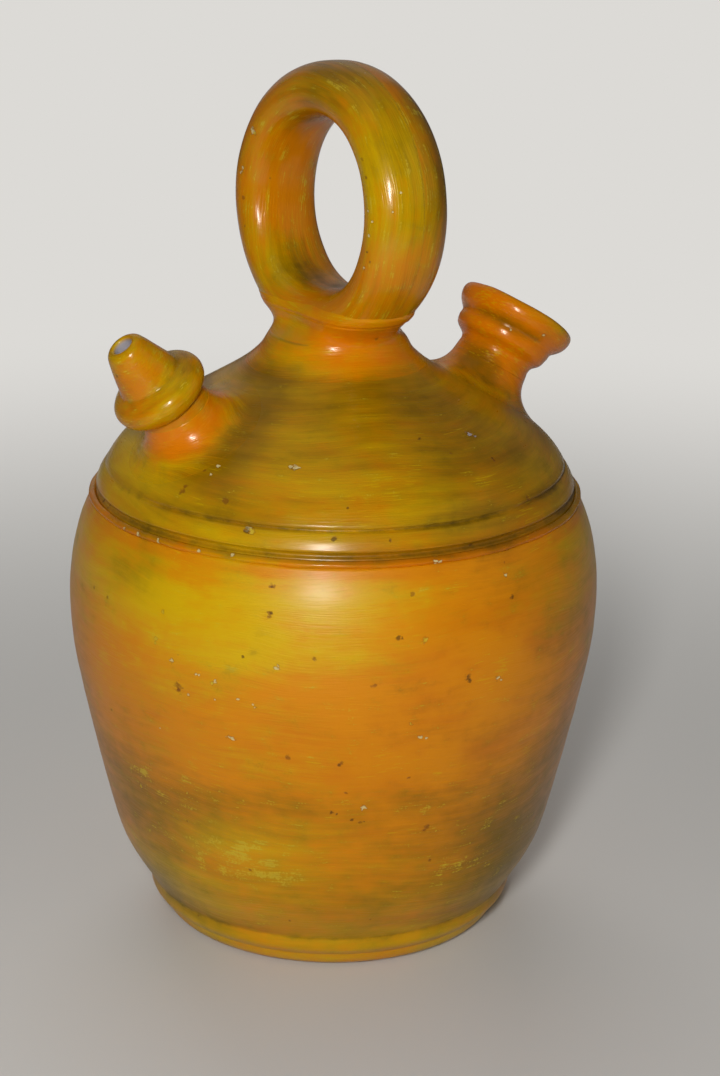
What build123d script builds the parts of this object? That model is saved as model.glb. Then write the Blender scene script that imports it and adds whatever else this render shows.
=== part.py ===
from build123d import *
import os
import math

# Millimetres, +Z up, base centre on the origin.
# The spout leans towards -X, the mouth towards +X, the ring stands across them.
# In the tables a radius is a share of the belly radius.

# Belly
belly_radius = 100.0
joint_height = 167.2
wall_thickness = 7.0
floor_thickness = 9.0

# Height as a share of the joint height
foot_shares = (
    (0.5900, 0.0000),
    (0.6460, 0.0161),
    (0.6690, 0.0419),
    (0.7030, 0.0646),
    (0.7040, 0.0897),
)
belly_side_shares = (
    (0.7600, 0.1440),
    (0.8170, 0.2093),
    (0.8520, 0.2800),
    (0.8840, 0.3589),
    (0.9210, 0.4550),
    (0.9545, 0.5500),
    (0.9850, 0.6500),
    (0.9990, 0.7400),
    (0.9975, 0.8150),
    (0.9800, 0.8900),
    (0.9480, 0.9570),
    (0.9150, 1.0000),
)
belly_floor_shares = (
    (0.2500, 0.0560),
    (0.4300, 0.0640),
    (0.5400, 0.0830),
    (0.6250, 0.1170),
)

# Clay roll over the joint
bead_seat_share = 0.896
bead_swell = 0.7
bead_rise = 1.2
bead_height = 2.6
bead_step = 0.8

# Shoulder dome
dome_height = 61.2
neck_top_height = joint_height + dome_height

# Height above the joint as a share of the dome height
dome_band_shares = (
    (0.8860, 0.0572),
    (0.8950, 0.0850),
    (0.8660, 0.1765),
    (0.8520, 0.1912),
)
dome_outer_shares = (
    (0.8560, 0.2059),
    (0.8290, 0.2712),
    (0.7600, 0.3840),
    (0.6600, 0.4984),
    (0.5400, 0.6176),
    (0.4200, 0.7320),
    (0.3300, 0.8310),
    (0.2750, 0.9216),
    (0.2465, 1.0000),
)
dome_inner_shares = (
    (0.8450, 0.0000),
    (0.8010, 0.1172),
    (0.7550, 0.2040),
    (0.6850, 0.2994),
    (0.6000, 0.3960),
    (0.4850, 0.5099),
    (0.3650, 0.6206),
    (0.2650, 0.7107),
    (0.1750, 0.7758),
    (0.0900, 0.8105),
    (0.0000, 0.8224),
)

# Directions of the band's outline at its lower and upper edge
band_low_direction = (0.2, 1)
band_high_direction = (-0.55, 1)

# Ring handle: turned a little off square and leaning a little towards the mouth, as it was set by hand
ring_outer_radius = 51.4
ring_hole_radius = 30.9
ring_half_width = 16.1
ring_sink = 3.8
ring_twist = 3.0
ring_lean = 2.1
ring_thickness = ring_outer_radius - ring_hole_radius
ring_centre_height = neck_top_height - ring_sink + ring_outer_radius

# Across as a share of the half width, outward as a share of the thickness from the hole
ring_section_shares = (
    (0.000, 1.000),
    (0.540, 0.930),
    (0.880, 0.730),
    (1.000, 0.470),
    (0.890, 0.215),
    (0.550, 0.052),
    (0.000, 0.000),
    (-0.550, 0.052),
    (-0.890, 0.215),
    (-1.000, 0.470),
    (-0.880, 0.730),
    (-0.540, 0.930),
)

# Collar: luted from the round neck out to a slot-shaped crease under the ring, half lengths and half widths
neck_radius = belly_radius * dome_outer_shares[-1][0]
collar_inset = 0.05
collar_flat = 0.4
collar_foot_length = neck_radius - collar_inset
collar_foot_width = collar_foot_length - collar_flat
collar_crease_rise = 8.0
collar_side_cover = 0.9
collar_end_cover = 0.43
collar_crease_height = neck_top_height + collar_crease_rise
collar_crease_width = ring_half_width + collar_side_cover
crease_drop = ring_centre_height - collar_crease_height
crease_reach = math.sqrt(ring_outer_radius**2 - crease_drop**2)
collar_crease_length = crease_reach + collar_end_cover
collar_waist_rise = 4.5
collar_waist_share = 0.465
collar_waist_swell = 0.8
collar_waist_height = neck_top_height + collar_waist_rise
collar_spread = collar_crease_length - collar_foot_length
collar_waist_length = collar_foot_length + collar_waist_share * collar_spread
collar_waist_width = collar_crease_width + collar_waist_swell

# Drinking spout: distances along its own axis from the dome's surface, outwards
spout_elevation = 51.3
spout_axis_drop = 44.9
spout_tip = 43.7
spout_root = -11.5
spout_root_radius = 16.4
spout_bore_radius = 3.65
spout_throat_radius = 6.5
spout_throat = 3.5
spout_bore_start = 27.5
spout_neck_radius = 12.7
spout_neck_top = 14.1
flange_radius = 18.0
flange_middle = 20.4
flange_low = 16.7
flange_low_radius = 16.6
flange_high = 23.5
flange_high_radius = 16.8
flange_top = 27.1
cone_base_radius = 11.9
cone_top = 40.5
cone_top_radius = 7.7
nose_radius = 6.3
nose_height = 43.0
lip_radius = 4.3
spout_seam_radius = 12.0

# Filling mouth: distances along its own axis from the dome's surface, outwards
mouth_elevation = 54.8
mouth_axis_drop = 59.9
mouth_root = -19.8
mouth_root_radius = 18.6
mouth_throat_radius = 10.2
mouth_neck = 13.7
mouth_neck_radius = 14.6
rib_radius = 19.5
rib_low = 17.6
rib_low_radius = 17.2
rib_middle = 20.6
rib_high = 23.1
rib_gap_radius = 18.6
mouth_gap = 24.2
rim_under = 26.0
rim_under_radius = 20.9
rim_radius = 23.2
rim_middle = 30.0
rim_high = 33.2
rim_high_radius = 22.7
rim_top = 34.5
rim_top_radius = 20.9
rim_inner_radius = 19.0
rim_inner = 33.2
funnel_radius = 13.6
funnel_height = 24.2
mouth_bore_start = 15.2
mouth_seam_radius = 12.0


def scaled(shares, across, up, lift):
    """Points from a table of shares: first column times across, second times up, plus lift."""
    return [(first * across, second * up + lift) for first, second in shares]


def dome_crossing(start_height, angle):
    """Radius at which an axis, rising at this angle from the jug's own axis, leaves the dome."""
    rows = scaled(dome_outer_shares, belly_radius, dome_height, joint_height)
    slope = math.tan(angle)
    for (outer, low), (inner, high) in zip(rows, rows[1:]):
        below = start_height + slope * outer - low
        above = high - start_height - slope * inner
        if below >= 0 and above > 0:
            return outer + (inner - outer) * below / (below + above)
    raise ValueError("the axis doesn't cross the dome")


def dome_side():
    """Spline of the dome's outer side from the upper groove to the top of the neck."""
    points = scaled(dome_outer_shares, belly_radius, dome_height, joint_height)
    return Spline(*points)


def dome_envelope():
    """Closed outline of everything under the dome's outer side, down to the joint."""
    trim = dome_side()
    middle_top = (0, neck_top_height)
    middle_low = (0, joint_height)
    edge_low = (belly_radius * dome_outer_shares[0][0], joint_height)
    Polyline(trim @ 1, middle_top, middle_low, edge_low, trim @ 0)


def ring_section():
    """Closed spline of the ring's section, above the ring's centre."""
    points = scaled(ring_section_shares, ring_half_width, ring_thickness, ring_hole_radius)
    Spline(*points, periodic=True)


def spout_neck_outline():
    """Closed outline of the spout's tapered neck as a full body."""
    root = (spout_root_radius, spout_root)
    top = (spout_neck_radius, spout_neck_top)
    Polyline((0, spout_root), root, top, (0, spout_neck_top), close=True)


def mouth_neck_outline():
    """Closed outline of the mouth's tapered neck as a full body."""
    root = (mouth_root_radius, mouth_root)
    top = (mouth_neck_radius, mouth_neck)
    Polyline((0, mouth_root), root, top, (0, mouth_neck), close=True)


# Seat of the bead, on the dome's side and on the belly's rim
bead_seat_radius = belly_radius * bead_seat_share
bead_top_height = joint_height + bead_height
rim_edge_radius = belly_radius * belly_side_shares[-1][0]

# Axis and sketch plane of the spout
spout_angle = math.radians(spout_elevation)
spout_direction = (-math.cos(spout_angle), 0, math.sin(spout_angle))
spout_across = (-math.sin(spout_angle), 0, -math.cos(spout_angle))
spout_axis_height = joint_height - spout_axis_drop
spout_seat = dome_crossing(spout_axis_height, spout_angle)
spout_seat_height = spout_axis_height + spout_seat * math.tan(spout_angle)
spout_start = (-spout_seat, 0, spout_seat_height)
spout_plane = Plane(origin=spout_start, x_dir=spout_across, z_dir=(0, 1, 0))
spout_axis = Axis(spout_start, spout_direction)

# Axis and sketch plane of the mouth
mouth_angle = math.radians(mouth_elevation)
mouth_direction = (math.cos(mouth_angle), 0, math.sin(mouth_angle))
mouth_across = (math.sin(mouth_angle), 0, -math.cos(mouth_angle))
mouth_axis_height = joint_height - mouth_axis_drop
mouth_seat = dome_crossing(mouth_axis_height, mouth_angle)
mouth_seat_height = mouth_axis_height + mouth_seat * math.tan(mouth_angle)
mouth_start = (mouth_seat, 0, mouth_seat_height)
mouth_plane = Plane(origin=mouth_start, x_dir=mouth_across, z_dir=(0, -1, 0))
mouth_axis = Axis(mouth_start, mouth_direction)

# Axis and sketch plane of the ring, twisted and leaning
twist = math.radians(ring_twist)
lean = math.radians(ring_lean)
level = math.cos(lean)
ring_across = (math.cos(twist) * level, math.sin(twist) * level, -math.sin(lean))
ring_facing = (math.sin(twist), -math.cos(twist), 0)
ring_start = (0, 0, ring_centre_height)
ring_plane = Plane(origin=ring_start, x_dir=ring_across, z_dir=ring_facing)
ring_axis = Axis(ring_start, ring_across)

# The leaning ring's foot is off centre, so the collar's upper outlines follow it
crease_shift = crease_drop * math.sin(lean)

# Belly pot: outer foot, side, flat joint face, inner side, floor
with BuildPart() as belly_pot:
    with BuildSketch(Plane.XZ):
        with BuildLine():
            outer = scaled(belly_side_shares, belly_radius, joint_height, 0)
            inner = [(radius - wall_thickness, height) for radius, height in outer]
            hollow = scaled(belly_floor_shares, belly_radius, joint_height, 0)
            foot = scaled(foot_shares, belly_radius, joint_height, 0)
            floor_point = (0, floor_thickness)
            Line((0, 0), foot[0])
            ThreePointArc(foot[0], foot[1], foot[2])
            ThreePointArc(foot[2], foot[3], foot[4])
            Spline(foot[4], *outer)
            Line(outer[-1], inner[-1])
            Spline(*reversed(inner), *reversed(hollow), floor_point)
            Line(floor_point, (0, 0))
        make_face()
    revolve(axis=Axis.Z)

# Shoulder dome: bead seat, lower groove, band, upper groove, side, neck, hollow inside
with BuildPart() as shoulder_dome:
    with BuildSketch(Plane.XZ):
        with BuildLine():
            inside = scaled(dome_inner_shares, belly_radius, dome_height, joint_height)
            band = scaled(dome_band_shares, belly_radius, dome_height, joint_height)
            seat_low = (bead_seat_radius, joint_height)
            seat_high = (bead_seat_radius, bead_top_height)
            side = dome_side()
            neck_top = (0, neck_top_height)
            Line(inside[0], seat_low)
            Line(seat_low, seat_high)
            ThreePointArc(seat_high, band[0], band[1])
            Spline(band[1], band[2], tangents=(band_low_direction, band_high_direction))
            ThreePointArc(band[2], band[3], side @ 0)
            Line(side @ 1, neck_top)
            Line(neck_top, inside[-1])
            Spline(*reversed(inside))
        make_face()
    revolve(axis=Axis.Z)
    # Saddle that the ring sits in
    with BuildSketch(ring_plane):
        with BuildLine():
            ring_section()
        make_face()
    revolve(axis=ring_axis, mode=Mode.SUBTRACT)
    # Hole under the spout
    with BuildSketch(spout_plane):
        with BuildLine():
            low = (spout_throat_radius, spout_root)
            high = (spout_throat_radius, spout_tip)
            Polyline((0, spout_root), low, high, (0, spout_tip), close=True)
        make_face()
    revolve(axis=spout_axis, mode=Mode.SUBTRACT)
    # Hole under the mouth
    with BuildSketch(mouth_plane):
        with BuildLine():
            low = (mouth_throat_radius, mouth_root)
            high = (mouth_throat_radius, rim_top)
            Polyline((0, mouth_root), low, high, (0, rim_top), close=True)
        make_face()
    revolve(axis=mouth_axis, mode=Mode.SUBTRACT)

# Seam bead: half round clay roll on the belly's rim, against the dome's seat
with BuildPart() as seam_bead:
    with BuildSketch(Plane.XZ):
        with BuildLine():
            roll_inner = (bead_seat_radius, joint_height)
            roll_low = (rim_edge_radius, joint_height)
            roll_middle = (rim_edge_radius + bead_swell, joint_height + bead_rise)
            roll_top = (bead_seat_radius + bead_step, bead_top_height)
            seat_top = (bead_seat_radius, bead_top_height)
            Line(roll_inner, roll_low)
            ThreePointArc(roll_low, roll_middle, roll_top)
            Line(roll_top, seat_top)
            Line(seat_top, roll_inner)
        make_face()
    revolve(axis=Axis.Z)

# Ring handle
with BuildPart() as ring_handle:
    with BuildSketch(ring_plane):
        with BuildLine():
            ring_section()
        make_face()
    revolve(axis=ring_axis)

# Luting collar between the neck and the ring
with BuildPart() as handle_seam:
    with BuildSketch(Plane.XY.offset(neck_top_height)):
        SlotOverall(2 * collar_foot_length, 2 * collar_foot_width, rotation=90 + ring_twist)
    with BuildSketch(Plane.XY.offset(collar_waist_height)):
        with Locations((-crease_shift / 2, 0)):
            SlotOverall(2 * collar_waist_length, 2 * collar_waist_width, rotation=90 + ring_twist)
    with BuildSketch(Plane.XY.offset(collar_crease_height)):
        with Locations((-crease_shift, 0)):
            SlotOverall(2 * collar_crease_length, 2 * collar_crease_width, rotation=90 + ring_twist)
    loft()
    with BuildSketch(ring_plane):
        with BuildLine():
            ring_section()
        make_face()
    revolve(axis=ring_axis, mode=Mode.SUBTRACT)

# Drinking spout, trimmed to sit on the dome
with BuildPart() as drinking_spout:
    with BuildSketch(spout_plane):
        with BuildLine():
            Polyline(
                (spout_throat_radius, spout_root),
                (spout_root_radius, spout_root),
                (spout_neck_radius, spout_neck_top),
            )
            Spline(
                (spout_neck_radius, spout_neck_top),
                (flange_low_radius, flange_low),
                (flange_radius, flange_middle),
                (flange_high_radius, flange_high),
                (cone_base_radius, flange_top),
                tangents=((0.7, 1), (-1, 0.35)),
            )
            Line((cone_base_radius, flange_top), (cone_top_radius, cone_top))
            Spline(
                (cone_top_radius, cone_top),
                (nose_radius, nose_height),
                (lip_radius, spout_tip),
                tangents=((-0.31, 1), (-1, 0)),
            )
            Polyline(
                (lip_radius, spout_tip),
                (spout_bore_radius, nose_height),
                (spout_bore_radius, spout_bore_start),
                (spout_throat_radius, spout_throat),
                (spout_throat_radius, spout_root),
            )
        make_face()
    revolve(axis=spout_axis)
    with BuildSketch(Plane.XZ):
        with BuildLine():
            dome_envelope()
        make_face()
    revolve(axis=Axis.Z, mode=Mode.SUBTRACT)

# Fillet of clay round the foot of the spout: rolled between the dome and the spout's neck
with BuildPart() as spout_seam:
    with BuildSketch(Plane.XZ):
        with BuildLine():
            dome_envelope()
        make_face()
    revolve(axis=Axis.Z)
    with BuildSketch(spout_plane):
        with BuildLine():
            spout_neck_outline()
        make_face()
    revolve(axis=spout_axis)
    meeting = spout_seam.edges(Select.NEW)
    fillet(meeting, radius=spout_seam_radius)
    with BuildSketch(Plane.XZ):
        with BuildLine():
            dome_envelope()
        make_face()
    revolve(axis=Axis.Z, mode=Mode.SUBTRACT)
    with BuildSketch(spout_plane):
        with BuildLine():
            spout_neck_outline()
        make_face()
    revolve(axis=spout_axis, mode=Mode.SUBTRACT)

# Filling mouth with one rib and a rounded rim, trimmed to sit on the dome
with BuildPart() as filling_mouth:
    with BuildSketch(mouth_plane):
        with BuildLine():
            Polyline(
                (mouth_throat_radius, mouth_root),
                (mouth_root_radius, mouth_root),
                (mouth_neck_radius, mouth_neck),
            )
            Spline(
                (mouth_neck_radius, mouth_neck),
                (rib_low_radius, rib_low),
                tangents=((-0.1, 1), (1, 0.9)),
            )
            ThreePointArc(
                (rib_low_radius, rib_low),
                (rib_radius, rib_middle),
                (rib_gap_radius, rib_high),
            )
            ThreePointArc(
                (rib_gap_radius, rib_high),
                (rib_gap_radius, mouth_gap),
                (rim_under_radius, rim_under),
            )
            Spline(
                (rim_under_radius, rim_under),
                (rim_radius, rim_middle),
                (rim_high_radius, rim_high),
                (rim_top_radius, rim_top),
                (rim_inner_radius, rim_inner),
                tangents=((0.9, 1), (-0.3, -1)),
            )
            Spline(
                (rim_inner_radius, rim_inner),
                (funnel_radius, funnel_height),
                (mouth_throat_radius, mouth_bore_start),
                tangents=((-0.3, -1), (0, -1)),
            )
            Line(
                (mouth_throat_radius, mouth_bore_start),
                (mouth_throat_radius, mouth_root),
            )
        make_face()
    revolve(axis=mouth_axis)
    with BuildSketch(Plane.XZ):
        with BuildLine():
            dome_envelope()
        make_face()
    revolve(axis=Axis.Z, mode=Mode.SUBTRACT)

# Fillet of clay round the foot of the mouth: rolled between the dome and the mouth's neck
with BuildPart() as mouth_seam:
    with BuildSketch(Plane.XZ):
        with BuildLine():
            dome_envelope()
        make_face()
    revolve(axis=Axis.Z)
    with BuildSketch(mouth_plane):
        with BuildLine():
            mouth_neck_outline()
        make_face()
    revolve(axis=mouth_axis)
    meeting = mouth_seam.edges(Select.NEW)
    fillet(meeting, radius=mouth_seam_radius)
    with BuildSketch(Plane.XZ):
        with BuildLine():
            dome_envelope()
        make_face()
    revolve(axis=Axis.Z, mode=Mode.SUBTRACT)
    with BuildSketch(mouth_plane):
        with BuildLine():
            mouth_neck_outline()
        make_face()
    revolve(axis=mouth_axis, mode=Mode.SUBTRACT)

belly_pot.part.label = "belly_pot"
shoulder_dome.part.label = "shoulder_dome"
seam_bead.part.label = "seam_bead"
ring_handle.part.label = "ring_handle"
handle_seam.part.label = "handle_seam"
drinking_spout.part.label = "drinking_spout"
spout_seam.part.label = "spout_seam"
filling_mouth.part.label = "filling_mouth"
mouth_seam.part.label = "mouth_seam"

os.makedirs("parts", exist_ok=True)
export_step(belly_pot.part, "parts/belly_pot.step")
export_step(shoulder_dome.part, "parts/shoulder_dome.step")
export_step(seam_bead.part, "parts/seam_bead.step")
export_step(ring_handle.part, "parts/ring_handle.step")
export_step(handle_seam.part, "parts/handle_seam.step")
export_step(drinking_spout.part, "parts/drinking_spout.step")
export_step(spout_seam.part, "parts/spout_seam.step")
export_step(filling_mouth.part, "parts/filling_mouth.step")
export_step(mouth_seam.part, "parts/mouth_seam.step")
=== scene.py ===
import logging
import math
from dataclasses import dataclass, field
from enum import Enum

import bpy
import numpy as np
from mathutils import Matrix, Vector
from mathutils.bvhtree import BVHTree


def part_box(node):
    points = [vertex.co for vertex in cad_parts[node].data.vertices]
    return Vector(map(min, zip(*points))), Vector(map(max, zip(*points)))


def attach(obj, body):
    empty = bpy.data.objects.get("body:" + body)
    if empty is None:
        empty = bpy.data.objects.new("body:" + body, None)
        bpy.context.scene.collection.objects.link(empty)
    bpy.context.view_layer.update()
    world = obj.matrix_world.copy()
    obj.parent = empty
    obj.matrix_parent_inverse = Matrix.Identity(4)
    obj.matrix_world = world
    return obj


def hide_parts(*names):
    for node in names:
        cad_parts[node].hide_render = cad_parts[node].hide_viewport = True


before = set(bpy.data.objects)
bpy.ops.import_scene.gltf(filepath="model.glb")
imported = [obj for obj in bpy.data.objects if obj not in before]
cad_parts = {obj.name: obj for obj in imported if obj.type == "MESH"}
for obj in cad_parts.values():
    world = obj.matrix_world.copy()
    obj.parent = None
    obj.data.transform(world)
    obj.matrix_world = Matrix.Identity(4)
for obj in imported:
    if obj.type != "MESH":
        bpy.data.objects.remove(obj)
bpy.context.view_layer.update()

Array = np.ndarray
log = logging.getLogger("botijo")

MM = 0.001
BODY = "root"

# Bearings round the jug are in degrees from the side that faces the camera, growing to its right
FRONT_ANGLE = math.radians(-123.0)


class Coat(Enum):
    """What lies on the clay at a place, or the shade painted there, as a channel of the wash attribute."""

    YELLOW = 0
    OLIVE = 1
    # Painted shade in grooves and creases, and at the bottom of the ring's hole
    GRIME = 2
    SCUFF = 3


class Ends(Enum):
    """How the first and last row of a grid are closed."""

    POLES = "poles"
    LOOP = "loop"


# Surface tools


def smooth_curve(points: Array, step: float) -> Array:
    """Natural cubic spline through points, at even steps of the chord length.

    With w from 0 to 1 along a chord h, its ends a and b and their second derivatives m and n:
    S = (1-w) a + w b + h^2/6 (((1-w)^3 - (1-w)) m + (w^3 - w) n).

    Args:
        points: the points passed through, one per row.
        step: wanted distance between the points returned.

    Returns:
        Points along the curve, the first and last ones included.
    """
    points = np.asarray(points, float)
    chords = np.linalg.norm(np.diff(points, axis=0), axis=1)
    knots = np.concatenate(([0.0], np.cumsum(chords)))
    size = len(points)
    system = np.eye(size)
    target = np.zeros_like(points)
    inner = np.arange(1, size - 1)
    system[inner, inner - 1] = chords[:-1]
    system[inner, inner] = 2 * (chords[:-1] + chords[1:])
    system[inner, inner + 1] = chords[1:]
    slopes = np.diff(points, axis=0) / chords[:, None]
    target[1:-1] = 6 * np.diff(slopes, axis=0)
    bends = np.linalg.solve(system, target)
    count = max(2, int(math.ceil(knots[-1] / step)) + 1)
    at = np.linspace(0.0, knots[-1], count)
    index = np.clip(np.searchsorted(knots, at, side="right") - 1, 0, size - 2)
    h = chords[index][:, None]
    w = ((at - knots[index]) / chords[index])[:, None]
    a, b = points[index], points[index + 1]
    m, n = bends[index], bends[index + 1]
    curve = ((1 - w) ** 3 - (1 - w)) * m + (w**3 - w) * n
    return (1 - w) * a + w * b + h**2 / 6 * curve


def joined(*parts: Array) -> Array:
    """Outline made of parts that meet end to end, each shared point kept once."""
    kept = [parts[0]] + [part[1:] for part in parts[1:]]
    return np.concatenate(kept)


def scaled(shares: tuple, across: float, up: float, lift: float = 0.0) -> Array:
    """Points from a table of shares: the first column times across, the second times up plus lift."""
    return np.array(shares) * (across, up) + (0.0, lift)


def run_length(outline: Array) -> Array:
    """Distance along an outline, from its first point, at each of its points."""
    steps = np.linalg.norm(np.diff(outline, axis=0), axis=1)
    return np.concatenate(([0.0], np.cumsum(steps)))


def smooth_step(value: Array, low: float, high: float) -> Array:
    """0 below low, 1 above high and 3t^2 - 2t^3 between them."""
    t = np.clip((value - low) / (high - low), 0.0, 1.0)
    return t * t * (3 - 2 * t)


def bell(value: Array, centre: float, spread: float) -> Array:
    """exp(-((value - centre) / spread)^2)."""
    return np.exp(-(((value - centre) / spread) ** 2))


def bearing_of(points: Array) -> Array:
    """Degrees round the jug from its front, between -180 and 180."""
    angle = np.arctan2(points[..., 1], points[..., 0]) - FRONT_ANGLE
    return np.degrees(np.mod(angle + math.pi, 2 * math.pi) - math.pi)


class ClayNoise:
    """Smooth seeded noise between -1 and 1: the small unevenness of clay worked by hand."""

    LATTICE = 32

    def __init__(self, seed: int) -> None:
        """Fills the lattice of random values that the noise runs between."""
        shape = (self.LATTICE,) * 3
        self.values = np.random.default_rng(seed).uniform(-1.0, 1.0, shape)

    def at(self, points: Array, wavelength: float | tuple, start: float = 0.0) -> Array:
        """Sum over a cell's eight corners of value times weight, with weight t^2 (3 - 2t) on each axis.

        Args:
            points: places, with x, y and z last.
            wavelength: distance between lattice points, one for all axes or one for each.
            start: distance that the places are moved by first, so that no two uses look alike.

        Returns:
            The noise at each place.
        """
        spread = (points + start) / np.asarray(wavelength)
        cell = np.floor(spread).astype(int)
        t = spread - cell
        t = t * t * (3 - 2 * t)
        total = np.zeros(points.shape[:-1])
        for corner in np.ndindex(2, 2, 2):
            index = np.mod(cell + corner, self.LATTICE)
            weight = np.prod(np.where(np.array(corner) == 1, t, 1 - t), axis=-1)
            total += weight * self.values[index[..., 0], index[..., 1], index[..., 2]]
        return total


@dataclass
class Shell:
    """A closed grid surface with what its finish needs at each point.

    Attributes:
        points: rows x columns x 3, columns going once round.
        grain: rows x columns x 3, places that brush strokes are drawn in: they run along the
            first two axes and lie side by side on the third.
        wash: rows x columns x 4, amounts by Coat.
        bare: rows x columns, 1 where the clay has no wash.
    """

    points: Array
    grain: Array
    wash: Array
    bare: Array
    ends: Ends = Ends.LOOP

    def corner_lists(self) -> tuple[Array, Array]:
        """Numbers the vertices row by row, with the two poles last.

        Returns:
            Vertex numbers of the quads, and of the triangles at the poles.
        """
        rows, columns = self.points.shape[:2]
        number = np.arange(rows * columns).reshape(rows, columns)
        turned = np.roll(number, -1, axis=1)
        if self.ends is Ends.LOOP:
            above, turned_above = np.roll(number, -1, axis=0), np.roll(turned, -1, axis=0)
            quads = np.stack((number, turned, turned_above, above), axis=-1)
            return quads.reshape(-1, 4), np.zeros((0, 3), int)
        quads = np.stack((number[:-1], turned[:-1], turned[1:], number[1:]), axis=-1)
        first = np.full(columns, rows * columns)
        low = np.stack((first, turned[0], number[0]), axis=-1)
        high = np.stack((first + 1, number[-1], turned[-1]), axis=-1)
        return quads.reshape(-1, 4), np.concatenate((low, high))

    def flat(self, values: Array) -> Array:
        """Lists values by vertex.

        Args:
            values: rows x columns, and more axes where a value has several numbers.

        Returns:
            The values, with the mean of the first and last row added for the poles.
        """
        listed = values.reshape(-1, *values.shape[2:])
        if self.ends is Ends.LOOP:
            return listed
        poles = np.stack((values[0].mean(axis=0), values[-1].mean(axis=0)))
        return np.concatenate((listed, poles))

    def to_object(self, name: str) -> bpy.types.Object:
        """Makes the mesh, with its faces pointing outwards, and its object.

        Args:
            name: name of the piece.

        Returns:
            The object, linked to the scene and at the origin.
        """
        places = self.flat(self.points)
        quads, fans = self.corner_lists()
        if enclosed_volume(places, quads, fans) < 0:
            quads, fans = quads[:, ::-1], fans[:, ::-1]
        mesh = bpy.data.meshes.new(name)
        mesh.vertices.add(len(places))
        mesh.vertices.foreach_set("co", places.astype(np.float32).ravel())
        corners = np.concatenate((quads.ravel(), fans.ravel()))
        starts = np.concatenate((np.arange(len(quads)) * 4, quads.size + np.arange(len(fans)) * 3))
        mesh.loops.add(len(corners))
        mesh.loops.foreach_set("vertex_index", corners.astype(np.int32))
        mesh.polygons.add(len(starts))
        mesh.polygons.foreach_set("loop_start", starts.astype(np.int32))
        mesh.update(calc_edges=True)
        mesh.validate()
        mesh.shade_smooth()
        rows = (
            ("grain", "FLOAT_VECTOR", "vector", self.flat(self.grain)),
            ("wash", "FLOAT_COLOR", "color", self.flat(self.wash)),
            ("bare", "FLOAT", "value", self.flat(self.bare)),
        )
        for label, kind, key, values in rows:
            attribute = mesh.attributes.new(label, kind, "POINT")
            attribute.data.foreach_set(key, values.astype(np.float32).ravel())
        made = bpy.data.objects.new(name, mesh)
        bpy.context.scene.collection.objects.link(made)
        return made


def enclosed_volume(places: Array, quads: Array, fans: Array) -> float:
    """Sum of a . (b x c) / 6 over the triangles of a closed surface.

    Args:
        places: place of each vertex.
        quads: vertex numbers of the faces with four corners.
        fans: vertex numbers of the faces with three.

    Returns:
        The volume inside, below 0 where the faces point inwards.
    """
    halves = (quads[:, (0, 1, 2)], quads[:, (0, 2, 3)], fans)
    a, b, c = (places[np.concatenate(halves)[:, k]] for k in range(3))
    return float(np.einsum("ij,ij->i", a, np.cross(b, c)).sum() / 6)


@dataclass(frozen=True)
class Axis:
    """A turning axis with its start and three square directions."""

    start: tuple
    along: tuple
    across: tuple
    side: tuple

    def revolve(self, radii: Array, heights: Array, angles: Array) -> Array:
        """P = start + radius (cos a . across + sin a . side) + height . along, on a grid.

        Args:
            radii: rows, or rows x columns.
            heights: rows, or rows x columns.
            angles: one for each column.

        Returns:
            rows x columns x 3 points.
        """
        if radii.ndim == 1:
            radii, heights = radii[:, None], heights[:, None]
        turn = np.cos(angles)[:, None] * self.across + np.sin(angles)[:, None] * self.side
        out = radii[..., None] * turn[None]
        return np.array(self.start) + out + heights[..., None] * np.array(self.along)


UPRIGHT = Axis((0, 0, 0), (0, 0, 1), (1, 0, 0), (0, 1, 0))


def full_turn(columns: int) -> Array:
    """Evenly spaced angles once round, the last one left off."""
    return np.arange(columns) * (2 * math.pi / columns)


# Brushed washes, by place


@dataclass(frozen=True)
class Patch:
    """A soft-edged place with more, or less, of a coat.

    Attributes:
        turn: degrees round the piece.
        place: metres up the piece, or degrees round the ring's section.
        half_turn: degrees from its middle to where it has faded.
        half_place: the same along place.
        amount: how much is added.
    """

    turn: float
    place: float
    half_turn: float
    half_place: float
    amount: float

    def at(self, turn: Array, place: Array) -> Array:
        """amount . exp(-(turn / half turn)^2) . exp(-(place / half place)^2), turn going round."""
        round_to = np.mod(turn - self.turn + 180.0, 360.0) - 180.0
        along = bell(place, self.place, self.half_place)
        return self.amount * bell(round_to, 0.0, self.half_turn) * along


@dataclass(frozen=True)
class Washes:
    """How the coats lie over a piece.

    Attributes:
        ramps: by coat, its amount at places up the piece. A coat that isn't named has none.
        patches: by coat, the numbers of each patch that is added.
    """

    ramps: dict
    patches: dict

    def at(self, turn: Array, place: Array) -> Array:
        """Amount of each coat at each point.

        Args:
            turn: degrees round the piece.
            place: metres up the piece, or degrees round the ring's section.

        Returns:
            The amounts, with the coats last.
        """
        turn, place = np.broadcast_arrays(turn, place)
        amounts = np.zeros(turn.shape + (len(Coat),))
        for coat, rows in self.ramps.items():
            table = np.array(rows)
            amounts[..., coat.value] = np.interp(place, table[:, 0], table[:, 1])
        for coat, rows in self.patches.items():
            for row in rows:
                amounts[..., coat.value] += Patch(*row).at(turn, place)
        return amounts


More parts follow.
